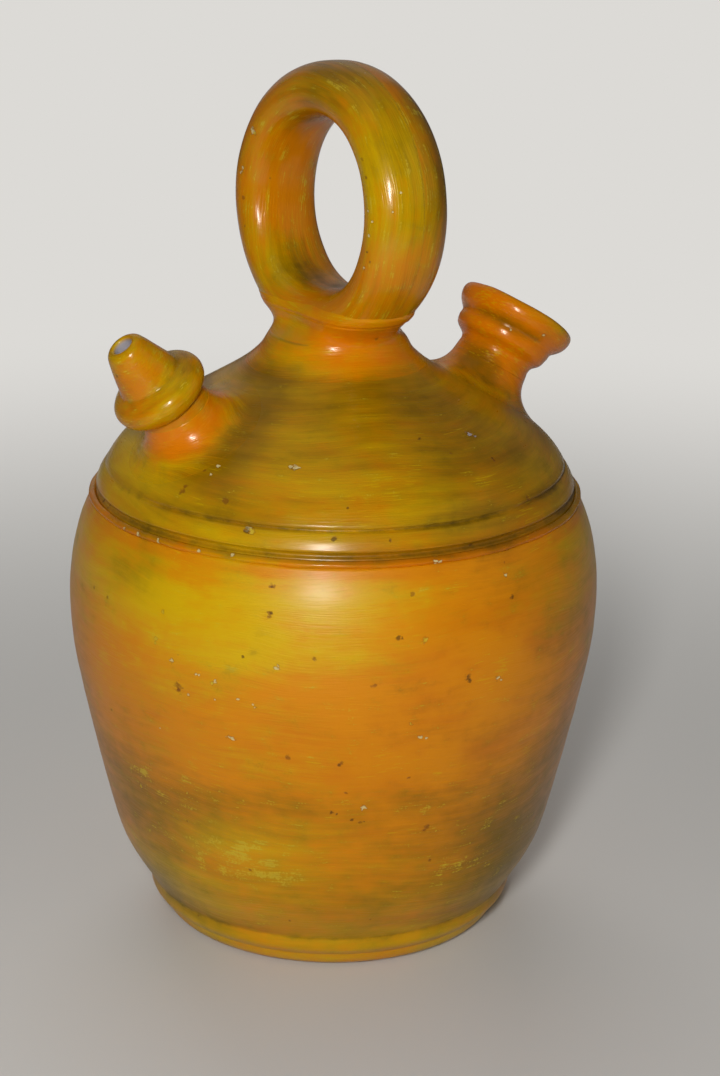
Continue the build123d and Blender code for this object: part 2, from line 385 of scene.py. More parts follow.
# Turn: bearing round the jug. Place: height in metres.
JUG_WASHES = Washes(
    ramps={
        Coat.YELLOW: (
            (0.005, 0.55), (0.017, 0.45), (0.027, 0.45), (0.040, 0.32), (0.054, 0.20),
            (0.100, 0.15), (0.115, 0.16), (0.130, 0.26), (0.143, 0.48), (0.158, 0.62),
            (0.1625, 0.55), (0.1645, 0.12), (0.1675, 0.22), (0.170, 0.50), (0.178, 0.60),
            (0.192, 0.52), (0.210, 0.48), (0.222, 0.35), (0.230, 0.20),
        ),
        Coat.OLIVE: (
            (0.008, 0.10), (0.015, 0.45), (0.022, 0.38), (0.045, 0.34), (0.070, 0.24),
            (0.090, 0.10), (0.110, 0.04), (0.140, 0.04), (0.160, 0.12), (0.166, 0.05), (0.170, 0.55),
            (0.174, 0.30), (0.178, 0.40), (0.1795, 0.60), (0.183, 0.32), (0.200, 0.36),
            (0.216, 0.42), (0.226, 0.18), (0.232, 0.10),
        ),
        # Painted shade in the foot's groove and in the dome's two grooves
        Coat.GRIME: (
            (0.0135, 0.0), (0.0152, 0.34), (0.0168, 0.0), (0.1668, 0.0), (0.1690, 0.10),
            (0.1703, 0.42), (0.1716, 0.10), (0.1730, 0.0), (0.1776, 0.0), (0.1788, 0.55),
            (0.1797, 0.12), (0.1812, 0.0),
        ),
        Coat.SCUFF: ((0.0, 0.10), (0.060, 0.14), (0.120, 0.08), (0.170, 0.05), (0.230, 0.0)),
    },
    patches={
        Coat.YELLOW: (
            (-14.0, 0.151, 24.0, 0.017, 0.42), (-38.0, 0.148, 9.0, 0.006, 0.30),
            (-52.0, 0.028, 18.0, 0.022, 0.35), (52.0, 0.026, 16.0, 0.020, 0.25),
            (-26.0, 0.160, 16.0, 0.003, -0.35), (-36.0, 0.132, 16.0, 0.014, 0.18),
            (34.0, 0.152, 22.0, 0.026, -0.50), (30.0, 0.105, 30.0, 0.045, -0.25),
            (-22.0, 0.056, 20.0, 0.014, 0.45), (-76.0, 0.190, 20.0, 0.018, 0.35),
            (-55.0, 0.228, 30.0, 0.012, 0.45), (125.0, 0.148, 40.0, 0.024, 0.40),
            (-130.0, 0.120, 36.0, 0.030, 0.35),
        ),
        Coat.OLIVE: (
            (-54.0, 0.028, 16.0, 0.022, 0.28), (-45.0, 0.068, 18.0, 0.018, 0.45),
            # At bearings 52 and 62 the patches are olive wash and also painted shade on the side turned from
            # the key lamp
            (-12.0, 0.078, 24.0, 0.007, 0.22), (52.0, 0.050, 26.0, 0.040, 0.55),
            (62.0, 0.120, 20.0, 0.050, 0.32), (-76.0, 0.192, 18.0, 0.016, -0.30),
            (-80.0, 0.095, 22.0, 0.050, 0.26), (-34.0, 0.198, 11.0, 0.016, 0.55),
            (-52.0, 0.222, 24.0, 0.012, 0.50), (22.0, 0.217, 16.0, 0.004, 0.12),
            (-48.0, 0.156, 10.0, 0.008, 0.40), (44.0, 0.196, 26.0, 0.022, 0.35),
            (6.0, 0.213, 34.0, 0.007, 0.12), (150.0, 0.060, 34.0, 0.022, 0.40),
            (-110.0, 0.200, 30.0, 0.018, 0.35),
        ),
        Coat.SCUFF: (
            (-22.0, 0.052, 15.0, 0.010, 0.75), (-44.0, 0.075, 14.0, 0.008, 0.45),
            (36.0, 0.050, 14.0, 0.014, 0.30), (170.0, 0.085, 20.0, 0.012, 0.60),
        ),
    },
)

# Turn: degrees from the ring's top towards the near limb. Place: degrees round the section,
# 0 outermost, 90 towards the spout, 180 at the hole, 270 towards the mouth.
RING_WASHES = Washes(
    ramps={
        Coat.YELLOW: ((0.0, 0.38), (90.0, 0.34), (180.0, 0.10), (270.0, 0.34), (360.0, 0.38)),
        Coat.OLIVE: ((0.0, 0.16), (90.0, 0.12), (180.0, 0.10), (270.0, 0.16), (360.0, 0.16)),
        Coat.SCUFF: ((0.0, 0.05), (360.0, 0.05)),
    },
    patches={
        Coat.YELLOW: (
            (52.0, 40.0, 44.0, 90.0, 0.62), (122.0, 40.0, 22.0, 80.0, -0.25),
            (-145.0, 150.0, 30.0, 60.0, 0.55), (-70.0, 180.0, 40.0, 50.0, -0.15),
        ),
        Coat.OLIVE: (
            (4.0, 50.0, 32.0, 90.0, 0.46), (40.0, 30.0, 40.0, 50.0, 0.22),
            (62.0, 318.0, 56.0, 38.0, 0.62), (-150.0, 168.0, 34.0, 50.0, 0.52),
            (178.0, 178.0, 22.0, 40.0, 0.40), (-15.0, 150.0, 30.0, 30.0, 0.45),
        ),
        # Painted shade on the inner face of the ring's hole, at its bottom
        Coat.GRIME: ((-152.0, 165.0, 26.0, 42.0, 0.36), (176.0, 182.0, 24.0, 34.0, 0.34)),
    },
)

# Turn: degrees round the spout, from its uphill side. Place: metres from the dome outwards.
SPOUT_WASHES = Washes(
    ramps={
        Coat.YELLOW: (
            (-0.010, 0.35), (0.004, 0.12), (0.014, 0.18), (0.019, 0.50), (0.026, 0.55),
            (0.034, 0.42), (0.044, 0.70),
        ),
        Coat.OLIVE: (
            (-0.010, 0.30), (0.006, 0.0), (0.015, 0.05), (0.025, 0.22), (0.034, 0.12),
            (0.044, 0.30),
        ),
        # Painted shade in the crease under the flange, at the cone's foot and round the tip's hole
        Coat.GRIME: (
            (0.012, 0.0), (0.0148, 0.45), (0.017, 0.0), (0.0255, 0.0), (0.0272, 0.30),
            (0.029, 0.0), (0.0432, 0.0), (0.044, 0.6),
        ),
        Coat.SCUFF: ((0.0, 0.0), (0.044, 0.05)),
    },
    patches={
        Coat.YELLOW: ((145.0, 0.031, 50.0, 0.008, -0.40), (60.0, 0.022, 60.0, 0.010, 0.20)),
        Coat.OLIVE: ((30.0, 0.027, 50.0, 0.004, 0.45),),
    },
)

# Turn: degrees round the mouth, from its uphill side. Place: metres from the dome outwards.
MOUTH_WASHES = Washes(
    ramps={
        Coat.YELLOW: (
            (-0.008, 0.40), (0.004, 0.20), (0.014, 0.05), (0.020, 0.05), (0.024, 0.14),
            (0.030, 0.10), (0.035, 0.25),
        ),
        Coat.OLIVE: (
            (-0.008, 0.30), (0.002, 0.22), (0.010, 0.12), (0.015, 0.06), (0.021, 0.04),
            (0.0245, 0.22), (0.028, 0.03), (0.032, 0.12), (0.035, 0.05),
        ),
        # Painted shade under the rib and in the gap between rib and rim
        Coat.GRIME: (
            (0.0155, 0.0), (0.0168, 0.20), (0.018, 0.0), (0.0232, 0.0), (0.0245, 0.35), (0.026, 0.0),
        ),
        Coat.SCUFF: ((0.0, 0.0), (0.044, 0.05)),
    },
    patches={
        Coat.OLIVE: ((34.0, 0.007, 44.0, 0.010, 0.85), (38.0, 0.0245, 38.0, 0.003, 0.60)),
        # Painted shade in the crease where the neck meets the dome, on one side
        Coat.GRIME: ((55.0, 0.0005, 80.0, 0.0028, 0.85),),
        Coat.YELLOW: ((110.0, 0.0335, 50.0, 0.002, 0.30),),
    },
)

# Turn: bearing round the jug. Place: height in metres.
COLLAR_WASHES = Washes(
    ramps={
        Coat.YELLOW: ((0.216, 0.35), (0.224, 0.22), (0.232, 0.22), (0.236, 0.25), (0.242, 0.40)),
        Coat.OLIVE: (
            (0.216, 0.35), (0.224, 0.12), (0.233, 0.05), (0.2362, 0.22), (0.238, 0.08), (0.242, 0.10),
        ),
        # Painted shade in the crease under the ring
        Coat.GRIME: ((0.2360, 0.0), (0.2368, 0.32), (0.2374, 0.0)),
    },
    patches={
        Coat.YELLOW: ((-55.0, 0.230, 42.0, 0.020, 0.40),),
        Coat.OLIVE: ((-60.0, 0.232, 36.0, 0.016, 0.28),),
    },
)

# Chips, pits and flecks by CAD node: column and row of the picture's pixel that shows each one,
# radius in millimetres and the colour that shows there
PHOTO_CHIPS = {
    "ring_handle": (
        (253, 131, 1.4, "chalk"), (255, 134, 0.9, "pale"), (241, 172, 1.2, "chalk"),
        (243, 168, 0.8, "chalk"), (270, 178, 0.4, "grime"), (364, 268, 0.8, "chalk"),
        (367, 252, 0.5, "grime"), (369, 236, 0.6, "chalk"), (372, 222, 0.6, "chalk"),
        (362, 160, 0.7, "rust"), (389, 190, 0.5, "chalk"), (393, 212, 0.5, "chalk"),
        (401, 193, 0.5, "chalk"), (366, 178, 0.5, "rust"), (368, 211, 0.6, "chalk"),
        (370, 262, 0.4, "rust"), (245, 226, 0.4, "rust"), (239, 216, 0.4, "rust"),
    ),
    "shoulder_dome": (
        (291, 467, 1.0, "chalk"), (294, 467.5, 1.1, "chalk"), (297, 468, 0.9, "chalk"),
        (470, 434, 1.5, "dust"), (474, 436, 0.9, "dust"), (492, 458, 0.6, "grime"), (494, 460, 0.5, "rust"),
        (451, 453, 0.6, "rust"), (218, 466, 0.7, "chalk"), (211, 474, 0.6, "chalk"),
        (182, 491, 1.3, "rust"), (185, 487, 0.8, "rust"), (204, 470, 0.9, "rust"), (110, 506, 1.0, "grime"),
        (104, 501, 0.7, "grime"), (249, 529, 1.5, "chalk"), (247, 531, 1.2, "grime"),
        (252, 531, 1.2, "pale"), (334, 539, 0.9, "grime"), (419, 439, 0.8, "grime"),
        (348, 508, 0.5, "grime"), (390, 540, 0.8, "grime"), (470, 545, 0.8, "grime"),
    ),
    "seam_bead": (
        (124, 528, 0.8, "chalk"), (138, 534, 1.0, "chalk"), (158, 541, 0.9, "chalk"),
        (199, 551, 0.9, "chalk"), (232, 555, 1.0, "chalk"), (437, 561, 1.3, "chalk"),
        (440, 562, 0.8, "chalk"), (299, 560, 0.5, "rust"),
    ),
    "belly_pot": (
        (171.6, 660.5, 0.9, "chalk"), (196, 674, 0.7, "chalk"), (199, 675, 0.5, "chalk"),
        (215, 682, 0.8, "chalk"), (212, 683, 0.7, "pale"), (276, 668, 1.0, "chalk"), (278, 666, 0.7, "chalk"),
        (188, 695, 0.6, "chalk"), (178, 686, 1.6, "rust"), (179, 691, 1.0, "rust"), (238, 699, 0.6, "chalk"),
        (255, 707, 0.7, "chalk"), (253, 705, 0.5, "chalk"), (229, 737, 0.9, "chalk"),
        (233, 739, 0.8, "chalk"), (288, 757, 0.9, "rust"), (339, 765, 0.7, "grime"),
        (341, 763, 0.7, "rust"), (364, 807, 1.0, "chalk"), (362, 810, 0.6, "chalk"), (408, 778, 0.7, "rust"),
        (346, 793, 0.6, "rust"), (187, 793, 0.9, "pale"), (188, 797, 0.6, "pale"), (141, 786, 0.9, "pale"),
        (156, 638, 0.8, "pale"), (155, 643, 0.5, "pale"), (243, 657, 0.6, "grime"), (314, 659, 0.7, "rust"),
        (399, 637, 0.9, "grime"), (402, 638, 0.6, "grime"), (425, 640, 1.0, "pale"), (424, 644, 0.5, "chalk"),
        (411, 724, 0.7, "pale"), (420, 737, 0.8, "chalk"), (426, 738, 0.6, "chalk"), (427, 827, 1.0, "rust"),
        (424, 830, 0.7, "rust"), (331, 813, 0.8, "grime"), (337, 814, 0.5, "grime"),
        (352, 820, 0.7, "grime"), (364, 822, 0.6, "grime"), (290, 921, 0.6, "rust"), (94, 587, 0.6, "rust"),
        (163, 612, 0.6, "pale"), (269, 615, 1.1, "rust"), (271, 613, 0.5, "grime"), (272, 586, 0.9, "rust"),
        (272, 587, 0.5, "grime"), (374, 686, 0.9, "rust"), (468, 677, 1.2, "grime"),
        (470, 680, 0.8, "grime"), (498, 678, 1.0, "chalk"), (501, 680, 0.6, "chalk"),
        (160, 728, 0.4, "chalk"), (215, 700, 0.4, "chalk"), (505, 575, 0.9, "chalk"),
        (512, 597, 0.8, "grime"), (430, 860, 0.6, "rust"), (250, 870, 0.5, "rust"), (533, 700, 0.5, "rust"),
        (178, 655, 0.4, "pale"),
    ),
    "filling_mouth": ((544, 335, 0.9, "chalk"), (511, 330, 0.5, "chalk")),
}


# The jug's own forms, as in the CAD model. Radii are shares of the belly radius. Heights are
# shares of the joint's height up to the joint, and of the dome's rise above it.
FOOT_SHARES = ((0.5900, 0.0000), (0.6460, 0.0161), (0.6690, 0.0419), (0.7030, 0.0646), (0.7040, 0.0897))
BELLY_SIDE_SHARES = (
    (0.7600, 0.1440), (0.8170, 0.2093), (0.8520, 0.2800), (0.8840, 0.3589), (0.9210, 0.4550),
    (0.9545, 0.5500), (0.9850, 0.6500), (0.9990, 0.7400), (0.9975, 0.8150), (0.9800, 0.8900),
    (0.9480, 0.9570), (0.9150, 1.0000),
)
BELLY_FLOOR_SHARES = (
    (0.6250, 0.1170), (0.5400, 0.0830), (0.4300, 0.0640), (0.2500, 0.0560), (0.0, 0.0538),
)
# Radii of the bead: its seat, lower edge, widest place and upper edge
BEAD_SHARES = (0.896, 0.915, 0.922, 0.904)
DOME_BAND_SHARES = (
    (0.8860, 0.0572), (0.8950, 0.0850), (0.8810, 0.1400), (0.8660, 0.1765), (0.8520, 0.1912),
)
DOME_OUTER_SHARES = (
    (0.8560, 0.2059), (0.8290, 0.2712), (0.7600, 0.3840), (0.6600, 0.4984), (0.5400, 0.6176),
    (0.4200, 0.7320), (0.3300, 0.8310), (0.2750, 0.9216), (0.2465, 1.0000),
)
DOME_INNER_SHARES = (
    (0.8450, 0.0000), (0.8010, 0.1172), (0.7550, 0.2040), (0.6850, 0.2994), (0.6000, 0.3960),
    (0.4850, 0.5099), (0.3650, 0.6206), (0.2650, 0.7107), (0.1750, 0.7758), (0.0900, 0.8105),
    (0.0000, 0.8224),
)

# Rounds of halving that find where a line meets a surface, to less than a micrometre
HALVINGS = 26


@dataclass(frozen=True)
class JugForm:
    """Main sizes of the thrown jug, read from the CAD frame, and its hand-worked unevenness.

    Attributes:
        joint: height of the joint between belly and dome.
        neck_top: height of the top of the dome's neck.
        wobble: how far the round wanders in or out.
        ripple: height of the throwing ripples.
        drift: how far turned lines wander up or down.
        drift_levels: share of a height that counts there, so that near lines wander alike.
        shiver: share of the drift that is added over a shorter length.
        foot_fade: heights between which the drift sets in.
        axis_fade: radii between which wobble and ripple set in.
    """

    belly_radius: float
    joint: float
    neck_top: float
    wall: float = 7.0 * MM
    seat_height: float = 2.6 * MM
    outline_step: float = 1.0 * MM
    wobble: float = 0.45 * MM
    wobble_length: float = 90.0 * MM
    ripple: float = 0.10 * MM
    ripple_length: tuple = (60.0 * MM, 60.0 * MM, 6.0 * MM)
    drift: float = 0.40 * MM
    drift_length: float = 70.0 * MM
    drift_levels: float = 0.15
    shiver: float = 0.4
    shiver_length: float = 24.0 * MM
    foot_fade: tuple = (4.0 * MM, 40.0 * MM)
    axis_fade: tuple = (5.0 * MM, 30.0 * MM)
    noise: ClayNoise = field(default_factory=lambda: ClayNoise(11))

    @classmethod
    def from_frame(cls) -> "JugForm":
        """Reads the main sizes from the boxes of the CAD nodes."""
        belly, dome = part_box("belly_pot"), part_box("shoulder_dome")
        return cls(belly[1].x, belly[1].z, dome[1].z)

    @property
    def dome_rise(self) -> float:
        """Height of the dome above the joint."""
        return self.neck_top - self.joint

    def uneven(self, points: Array) -> Array:
        """Moves points as the potter's hands did.

        Radius grows by wobble n(p / wobble length) + ripple n(p / ripple length), and height by
        drift (n(q / drift length) + shiver n(q / shiver length)), where q is p with its height
        times drift levels. The drift fades out at the foot.

        Args:
            points: places on the even jug.

        Returns:
            The same places on the uneven jug.
        """
        radius = np.hypot(points[..., 0], points[..., 1])
        level = points * (1.0, 1.0, self.drift_levels)
        out = self.wobble * self.noise.at(points, self.wobble_length)
        out += self.ripple * self.noise.at(points, self.ripple_length, start=1.0)
        lift = self.drift * self.noise.at(level, self.drift_length, start=2.0)
        lift += self.shiver * self.drift * self.noise.at(level, self.shiver_length, start=3.0)
        lift *= smooth_step(points[..., 2], *self.foot_fade)
        fade = smooth_step(radius, *self.axis_fade)
        growth = 1 + fade * out / np.maximum(radius, self.axis_fade[0])
        moved = points * np.stack((growth, growth, np.ones_like(growth)), axis=-1)
        moved[..., 2] += lift
        return moved

    def dome_outline(self, step: float) -> Array:
        """Outer outline of the dome from the bead's seat to the top of its neck.

        Args:
            step: distance between points on the slope. The tighter turns have shorter steps.

        Returns:
            Radius and height of each point.
        """
        radius, rise, joint = self.belly_radius, self.dome_rise, self.joint
        band = scaled(DOME_BAND_SHARES, radius, rise, joint)
        side = scaled(DOME_OUTER_SHARES, radius, rise, joint)
        seat_radius = BEAD_SHARES[0] * radius
        seat = np.array([(seat_radius, joint), (seat_radius, joint + self.seat_height)])
        fine, finest = 0.6 * step, 0.3 * step
        return joined(
            smooth_curve(seat, step),
            smooth_curve(np.stack((seat[1], band[0], band[1])), finest),
            smooth_curve(band[1:4], fine),
            smooth_curve(np.stack((band[3], band[4], side[0])), finest),
            smooth_curve(side, step),
        )

    def whole_outline(self) -> Array:
        """Outer outline from the foot to the top of the neck.

        Returns:
            Radius and height of each point, each higher than the one before.
        """
        foot = scaled(FOOT_SHARES, self.belly_radius, self.joint)
        side = scaled(BELLY_SIDE_SHARES, self.belly_radius, self.joint)
        belly = smooth_curve(np.concatenate((foot, side)), self.outline_step)
        outline = np.concatenate((belly, self.dome_outline(self.outline_step)[1:]))
        rising = np.concatenate(([True], np.diff(np.maximum.accumulate(outline[:, 1])) > 0))
        return outline[rising]

    def radius_at(self, heights: Array) -> Array:
        """Outer radius of the even jug at a height."""
        outline = self.whole_outline()
        return np.interp(heights, outline[:, 1], outline[:, 0])


def jug_grain(points: Array, along: Array) -> Array:
    """Places for brush strokes that go round the jug.

    Args:
        points: places on the jug.
        along: their distance up its outline.

    Returns:
        x and y as they are, then the distance up the outline.
    """
    grain = points.copy()
    grain[..., 2] = along
    return grain


def grain_length(form: JugForm, heights: Array) -> Array:
    """Distance up the whole outline of the jug at a height, so that pieces share their strokes."""
    outline = form.whole_outline()
    return np.interp(heights, outline[:, 1], run_length(outline))


def jug_shell(form: JugForm, points: Array, bare: Array, ends: Ends) -> Shell:
    """Surface of a piece that was turned on the wheel, with the strokes and washes of the jug.

    Args:
        form: the jug.
        points: places on the even piece.
        bare: 1 where it has no wash.
        ends: how its grid is closed.

    Returns:
        The uneven surface.
    """
    bearing, height = bearing_of(points), points[..., 2]
    grain = jug_grain(points, grain_length(form, height))
    return Shell(form.uneven(points), grain, JUG_WASHES.at(bearing, height), bare, ends)


# Pieces


@dataclass
class Piece:
    """A piece of the jug: its outline, its washes and its finish."""

    form: JugForm

    name = ""
    node = ""
    slot = ""

    def shell(self) -> Shell:
        """Works out the piece's surface."""
        raise NotImplementedError

    def make(self) -> bpy.types.Object:
        """Builds the piece and lets it stand for its CAD node.

        Returns:
            Its object.
        """
        made = self.shell().to_object(self.name)
        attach(made, BODY)
        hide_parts(self.node)
        log.info("%s: %d faces", self.name, len(made.data.polygons))
        return made


@dataclass
class BellyPot(Piece):
    """Thrown belly with its turned foot and its flat inner floor."""

    columns: int = 400
    step: float = 1.1 * MM
    foot_step: float = 0.6 * MM
    inner_step: float = 6.0 * MM
    centre: float = 3.0 * MM
    bare_below: float = 0.2 * MM

    name = "thrown_belly"
    node = "belly_pot"
    slot = "amber_wash"

    def shell(self) -> Shell:
        """Turns foot, side, rim, inner wall and floor as one closed outline round the axis.

        Returns:
            The surface.
        """
        form = self.form
        foot = scaled(FOOT_SHARES, form.belly_radius, form.joint)
        side = scaled(BELLY_SIDE_SHARES, form.belly_radius, form.joint)
        floor = scaled(BELLY_FLOOR_SHARES, form.belly_radius, form.joint)
        floor[-1, 0] = self.centre
        base = np.array([(self.centre, 0.0), foot[0]])
        wall = side[::-1] - (form.wall, 0.0)
        hollow = smooth_curve(np.concatenate((wall, floor)), self.inner_step)
        outline = joined(
            smooth_curve(base, self.inner_step),
            smooth_curve(foot[:3], self.foot_step),
            smooth_curve(foot[2:], self.foot_step),
            smooth_curve(np.concatenate((foot[-1:], side)), self.step),
            smooth_curve(np.stack((side[-1], wall[0])), 0.5 * self.inner_step),
            hollow,
        )
        points = UPRIGHT.revolve(outline[:, 0], outline[:, 1], full_turn(self.columns))
        inside = np.arange(len(outline)) > len(outline) - len(hollow)
        unwashed = inside | (outline[:, 1] < self.bare_below)
        return jug_shell(form, points, np.broadcast_to(unwashed[:, None], points.shape[:2]), Ends.POLES)


@dataclass
class SeamBead(Piece):
    """Thin roll of clay pressed over the joint of belly and dome, with finger marks.

    Attributes:
        drop: how far it starts below the joint, and how much its buried side rises.
        press_shape: stretch of x, y and z that makes the finger marks longer than high.
    """

    columns: int = 900
    step: float = 0.3 * MM
    sink: float = 0.8 * MM
    height: float = 2.75 * MM
    drop: float = 0.3 * MM
    press: float = 0.28 * MM
    press_length: float = 9.0 * MM
    press_shape: tuple = (1, 1, 3)

    name = "joint_bead"
    node = "seam_bead"
    slot = "orange_wash"

    def shell(self) -> Shell:
        """Carries the roll's section round, pressed in by press . n(p / press length).

        Returns:
            The surface.
        """
        form = self.form
        seat, rim, swell, top = (share * form.belly_radius for share in BEAD_SHARES)
        low, high = form.joint - self.drop, form.joint - self.drop + self.height
        inner = seat - self.sink
        roll = np.array([(rim, low), (swell, 0.5 * (low + high)), (top, high)])
        buried = np.array([(inner, low + self.drop)])
        outline = np.concatenate((smooth_curve(roll, self.step), buried))
        points = UPRIGHT.revolve(outline[:, 0], outline[:, 1], full_turn(self.columns))
        marks = form.noise.at(points * self.press_shape, self.press_length, start=5.0)
        outer = smooth_step(outline[:, 0], inner, rim)[:, None]
        points[..., :2] *= (1 + outer * self.press * marks / swell)[..., None]
        return jug_shell(form, points, np.zeros(points.shape[:2]), Ends.LOOP)


@dataclass
class ShoulderDome(Piece):
    """Thrown cap of the jug: band between two turned grooves, slope and hollow neck.

    Attributes:
        groove_shares: lower and upper edge of the upper groove, as shares of the dome's rise.
        groove_line: height of the painted shade in that groove.
        smoothed: share of the groove, and of its painted shade, that a hand wiped away.
        smoothed_from: bearings between which the wiped part sets in.
        smoothed_to: bearings between which it ends.
        nick_share: share of the groove that a nick takes away.
    """

    columns: int = 540
    step: float = 1.0 * MM
    inner_step: float = 5.0 * MM
    centre: float = 3.0 * MM
    groove_shares: tuple = (0.176, 0.235)
    groove_line: float = 178.9 * MM
    groove_spread: float = 1.6 * MM
    smoothed: float = 0.8
    smoothed_from: tuple = (-150.0, -120.0)
    smoothed_to: tuple = (-58.0, -36.0)
    nick_bearing: float = 47.0
    nick_width: float = 4.0
    nick_share: float = 0.6

    name = "domed_shoulder"
    node = "shoulder_dome"
    slot = "olive_wash"

    def groove_loss(self, bearing: Array) -> Array:
        """Works out how much of the upper groove is smoothed over, left of the front and at a nick.

        Args:
            bearing: degrees round the jug.

        Returns:
            The share that is lost at each bearing.
        """
        wiped = smooth_step(bearing, *self.smoothed_from) * (1 - smooth_step(bearing, *self.smoothed_to))
        nick = self.nick_share * bell(bearing, self.nick_bearing, self.nick_width)
        return np.clip(self.smoothed * wiped + nick, 0, 1)

    def shell(self) -> Shell:
        """Turns inner side, joint face, outer side and neck top as one closed outline.

        Returns:
            The surface.
        """
        form = self.form
        inner = scaled(DOME_INNER_SHARES, form.belly_radius, form.dome_rise, form.joint)[::-1]
        inner[0, 0] = self.centre
        outer = form.dome_outline(self.step)
        joint_face = np.stack((inner[-1], outer[0]))
        top = np.array([outer[-1], (self.centre, form.neck_top)])
        inside = smooth_curve(inner, self.inner_step)
        outline = joined(
            inside,
            smooth_curve(joint_face, 0.5 * self.inner_step),
            outer,
            smooth_curve(top, self.inner_step),
        )
        levels = np.repeat(outline[:, 1:], self.columns, axis=1)
        radii = np.repeat(outline[:, :1], self.columns, axis=1)
        angles = full_turn(self.columns)
        bearing = bearing_of(UPRIGHT.revolve(radii, levels, angles))
        loss = self.groove_loss(bearing[0])
        low, high = (form.joint + share * form.dome_rise for share in self.groove_shares)
        groove = (outline[:, 1] > low) & (outline[:, 1] < high)
        groove[: len(inside)] = False
        rows = np.flatnonzero(groove)
        ends = outline[[rows[0], rows[-1]]]
        filled = np.interp(outline[rows, 1], ends[:, 1], ends[:, 0])
        radii[rows] += loss * (filled - outline[rows, 0])[:, None]
        bare = np.zeros(levels.shape)
        bare[: len(inside)] = 1.0
        made = jug_shell(form, UPRIGHT.revolve(radii, levels, angles), bare, Ends.POLES)
        # The painted shade in the upper groove goes where the groove is smoothed over
        crevice_shade = bell(levels, self.groove_line, self.groove_spread)
        made.wash[..., Coat.GRIME.value] *= 1 - self.smoothed * loss * crevice_shade
        return made


@dataclass(frozen=True)
class SlantedNeck:
    """Tapered neck set on the dome at a slant, and the clay smoothed round its foot.

    Attributes:
        side: -1 towards the drinking spout, 1 towards the filling mouth.
        elevation: degrees of the axis above the horizon.
        drop: how far below the joint the axis meets the jug's own axis.
        root_radius: radius of the neck at root.
        root: distance of that from the dome, along the axis, below its surface.
        top_radius: radius of the neck at top.
        top: distance of that from the dome.
        rise: how far the smoothed clay climbs up the neck.
        spread: how far it runs out over the dome.
        stretch: how far the smoothed clay follows neck and dome before it turns.
        foot_rounds: rounds in which the neck's radius at the dome is found.
        nudge: half the distance over which the dome's slope is measured.
        reach: distance along the axis, both ways, within which the dome is looked for.
        stroke_scale: how many times shorter than the jug's the neck's brush strokes are.
    """

    form: JugForm
    side: int
    elevation: float
    drop: float
    root_radius: float
    root: float
    top_radius: float
    top: float
    rise: float
    spread: float
    stretch: float = 1.15
    foot_rounds: int = 4
    nudge: float = 0.2 * MM
    reach: float = 45.0 * MM
    stroke_scale: float = 4.0

    @property
    def axis(self) -> Axis:
        """Axis that starts on the dome and runs outwards.

        Returns:
            The axis, with across pointing uphill and side towards the front.
        """
        form = self.form
        angle = math.radians(self.elevation)
        cosine, sine = math.cos(angle), math.sin(angle)
        foot = form.joint - self.drop
        slope = scaled(DOME_OUTER_SHARES, form.belly_radius, form.dome_rise, form.joint)
        above = slope[:, 1] - foot - slope[:, 0] * sine / cosine
        seat = float(np.interp(0.0, above, slope[:, 0]))
        start = (self.side * seat, 0.0, foot + seat * sine / cosine)
        along, across = (self.side * cosine, 0.0, sine), (-self.side * sine, 0.0, cosine)
        return Axis(start, along, across, (0.0, -1.0, 0.0))

    @property
    def taper(self) -> float:
        """Growth of the neck's radius along its axis."""
        return (self.top_radius - self.root_radius) / (self.top - self.root)

    def radius_at(self, heights: Array) -> Array:
        """Radius of the tapered neck at distances from the dome."""
        return self.root_radius + (heights - self.root) * self.taper

    def dome_heights(self, angles: Array, radii: Array) -> Array:
        """Distances along the axis at which the dome lies at given angles and radii, by halving.

        Args:
            angles: one for each column.
            radii: rows x columns.

        Returns:
            rows x columns distances.
        """
        low, high = np.full(radii.shape, -self.reach), np.full(radii.shape, self.reach)
        for _ in range(HALVINGS):
            middle = 0.5 * (low + high)
            points = self.axis.revolve(radii, middle, angles)
            distance = np.hypot(points[..., 0], points[..., 1])
            outside = distance > self.form.radius_at(points[..., 2])
            outside |= points[..., 2] > self.form.neck_top
            low, high = np.where(outside, low, middle), np.where(outside, middle, high)
        return 0.5 * (low + high)

    def luting(self, angles: Array, rows: int) -> tuple[Array, Array]:
        """Hermite curve from the neck down to the dome, for each angle.

        With P, Q the ends, d, e unit directions there and k a stretch of |Q - P|:
        S = (2s^3 - 3s^2 + 1) P + (s^3 - 2s^2 + s) k d + (3s^2 - 2s^3) Q + (s^3 - s^2) k e.

        Args:
            angles: one for each column.
            rows: number of points down the curve.

        Returns:
            Radii and heights, rows x columns.
        """
        foot = np.full((1, len(angles)), self.root_radius)
        for _ in range(self.foot_rounds):
            meeting = self.dome_heights(angles, foot)
            foot = self.radius_at(meeting)
        start_height = meeting + self.rise
        start = np.stack((self.radius_at(start_height), start_height), axis=-1)
        out = foot + self.spread
        end = np.stack((out, self.dome_heights(angles, out)), axis=-1)
        upper, lower = (self.dome_heights(angles, out + way * self.nudge) for way in (1, -1))
        lean = (upper - lower) / (2 * self.nudge)
        down = np.array((-self.taper, -1.0)) / math.hypot(self.taper, 1.0)
        away = np.stack((np.ones_like(lean), lean), axis=-1) / np.hypot(1.0, lean)[..., None]
        k = self.stretch * np.linalg.norm(end - start, axis=-1, keepdims=True)
        s = np.linspace(0.0, 1.0, rows)[:, None, None]
        curve = (2 * s**3 - 3 * s**2 + 1) * start + (s**3 - 2 * s**2 + s) * k * down
        curve = curve + (3 * s**2 - 2 * s**3) * end + (s**3 - s**2) * k * away
        return curve[..., 0], curve[..., 1]

    def grain(self, points: Array, heights: Array) -> Array:
        """Places for brush strokes round the neck, which go on as the jug's where the two meet.

        Args:
            points: places on the neck.
            heights: their distances up its outline.

        Returns:
            The places that the strokes are drawn in.
        """
        start = np.array(self.axis.start)
        seat = float(grain_length(self.form, start[2]))
        grain = start + self.stroke_scale * (points - start)
        grain[..., 2] = seat + heights
        return grain


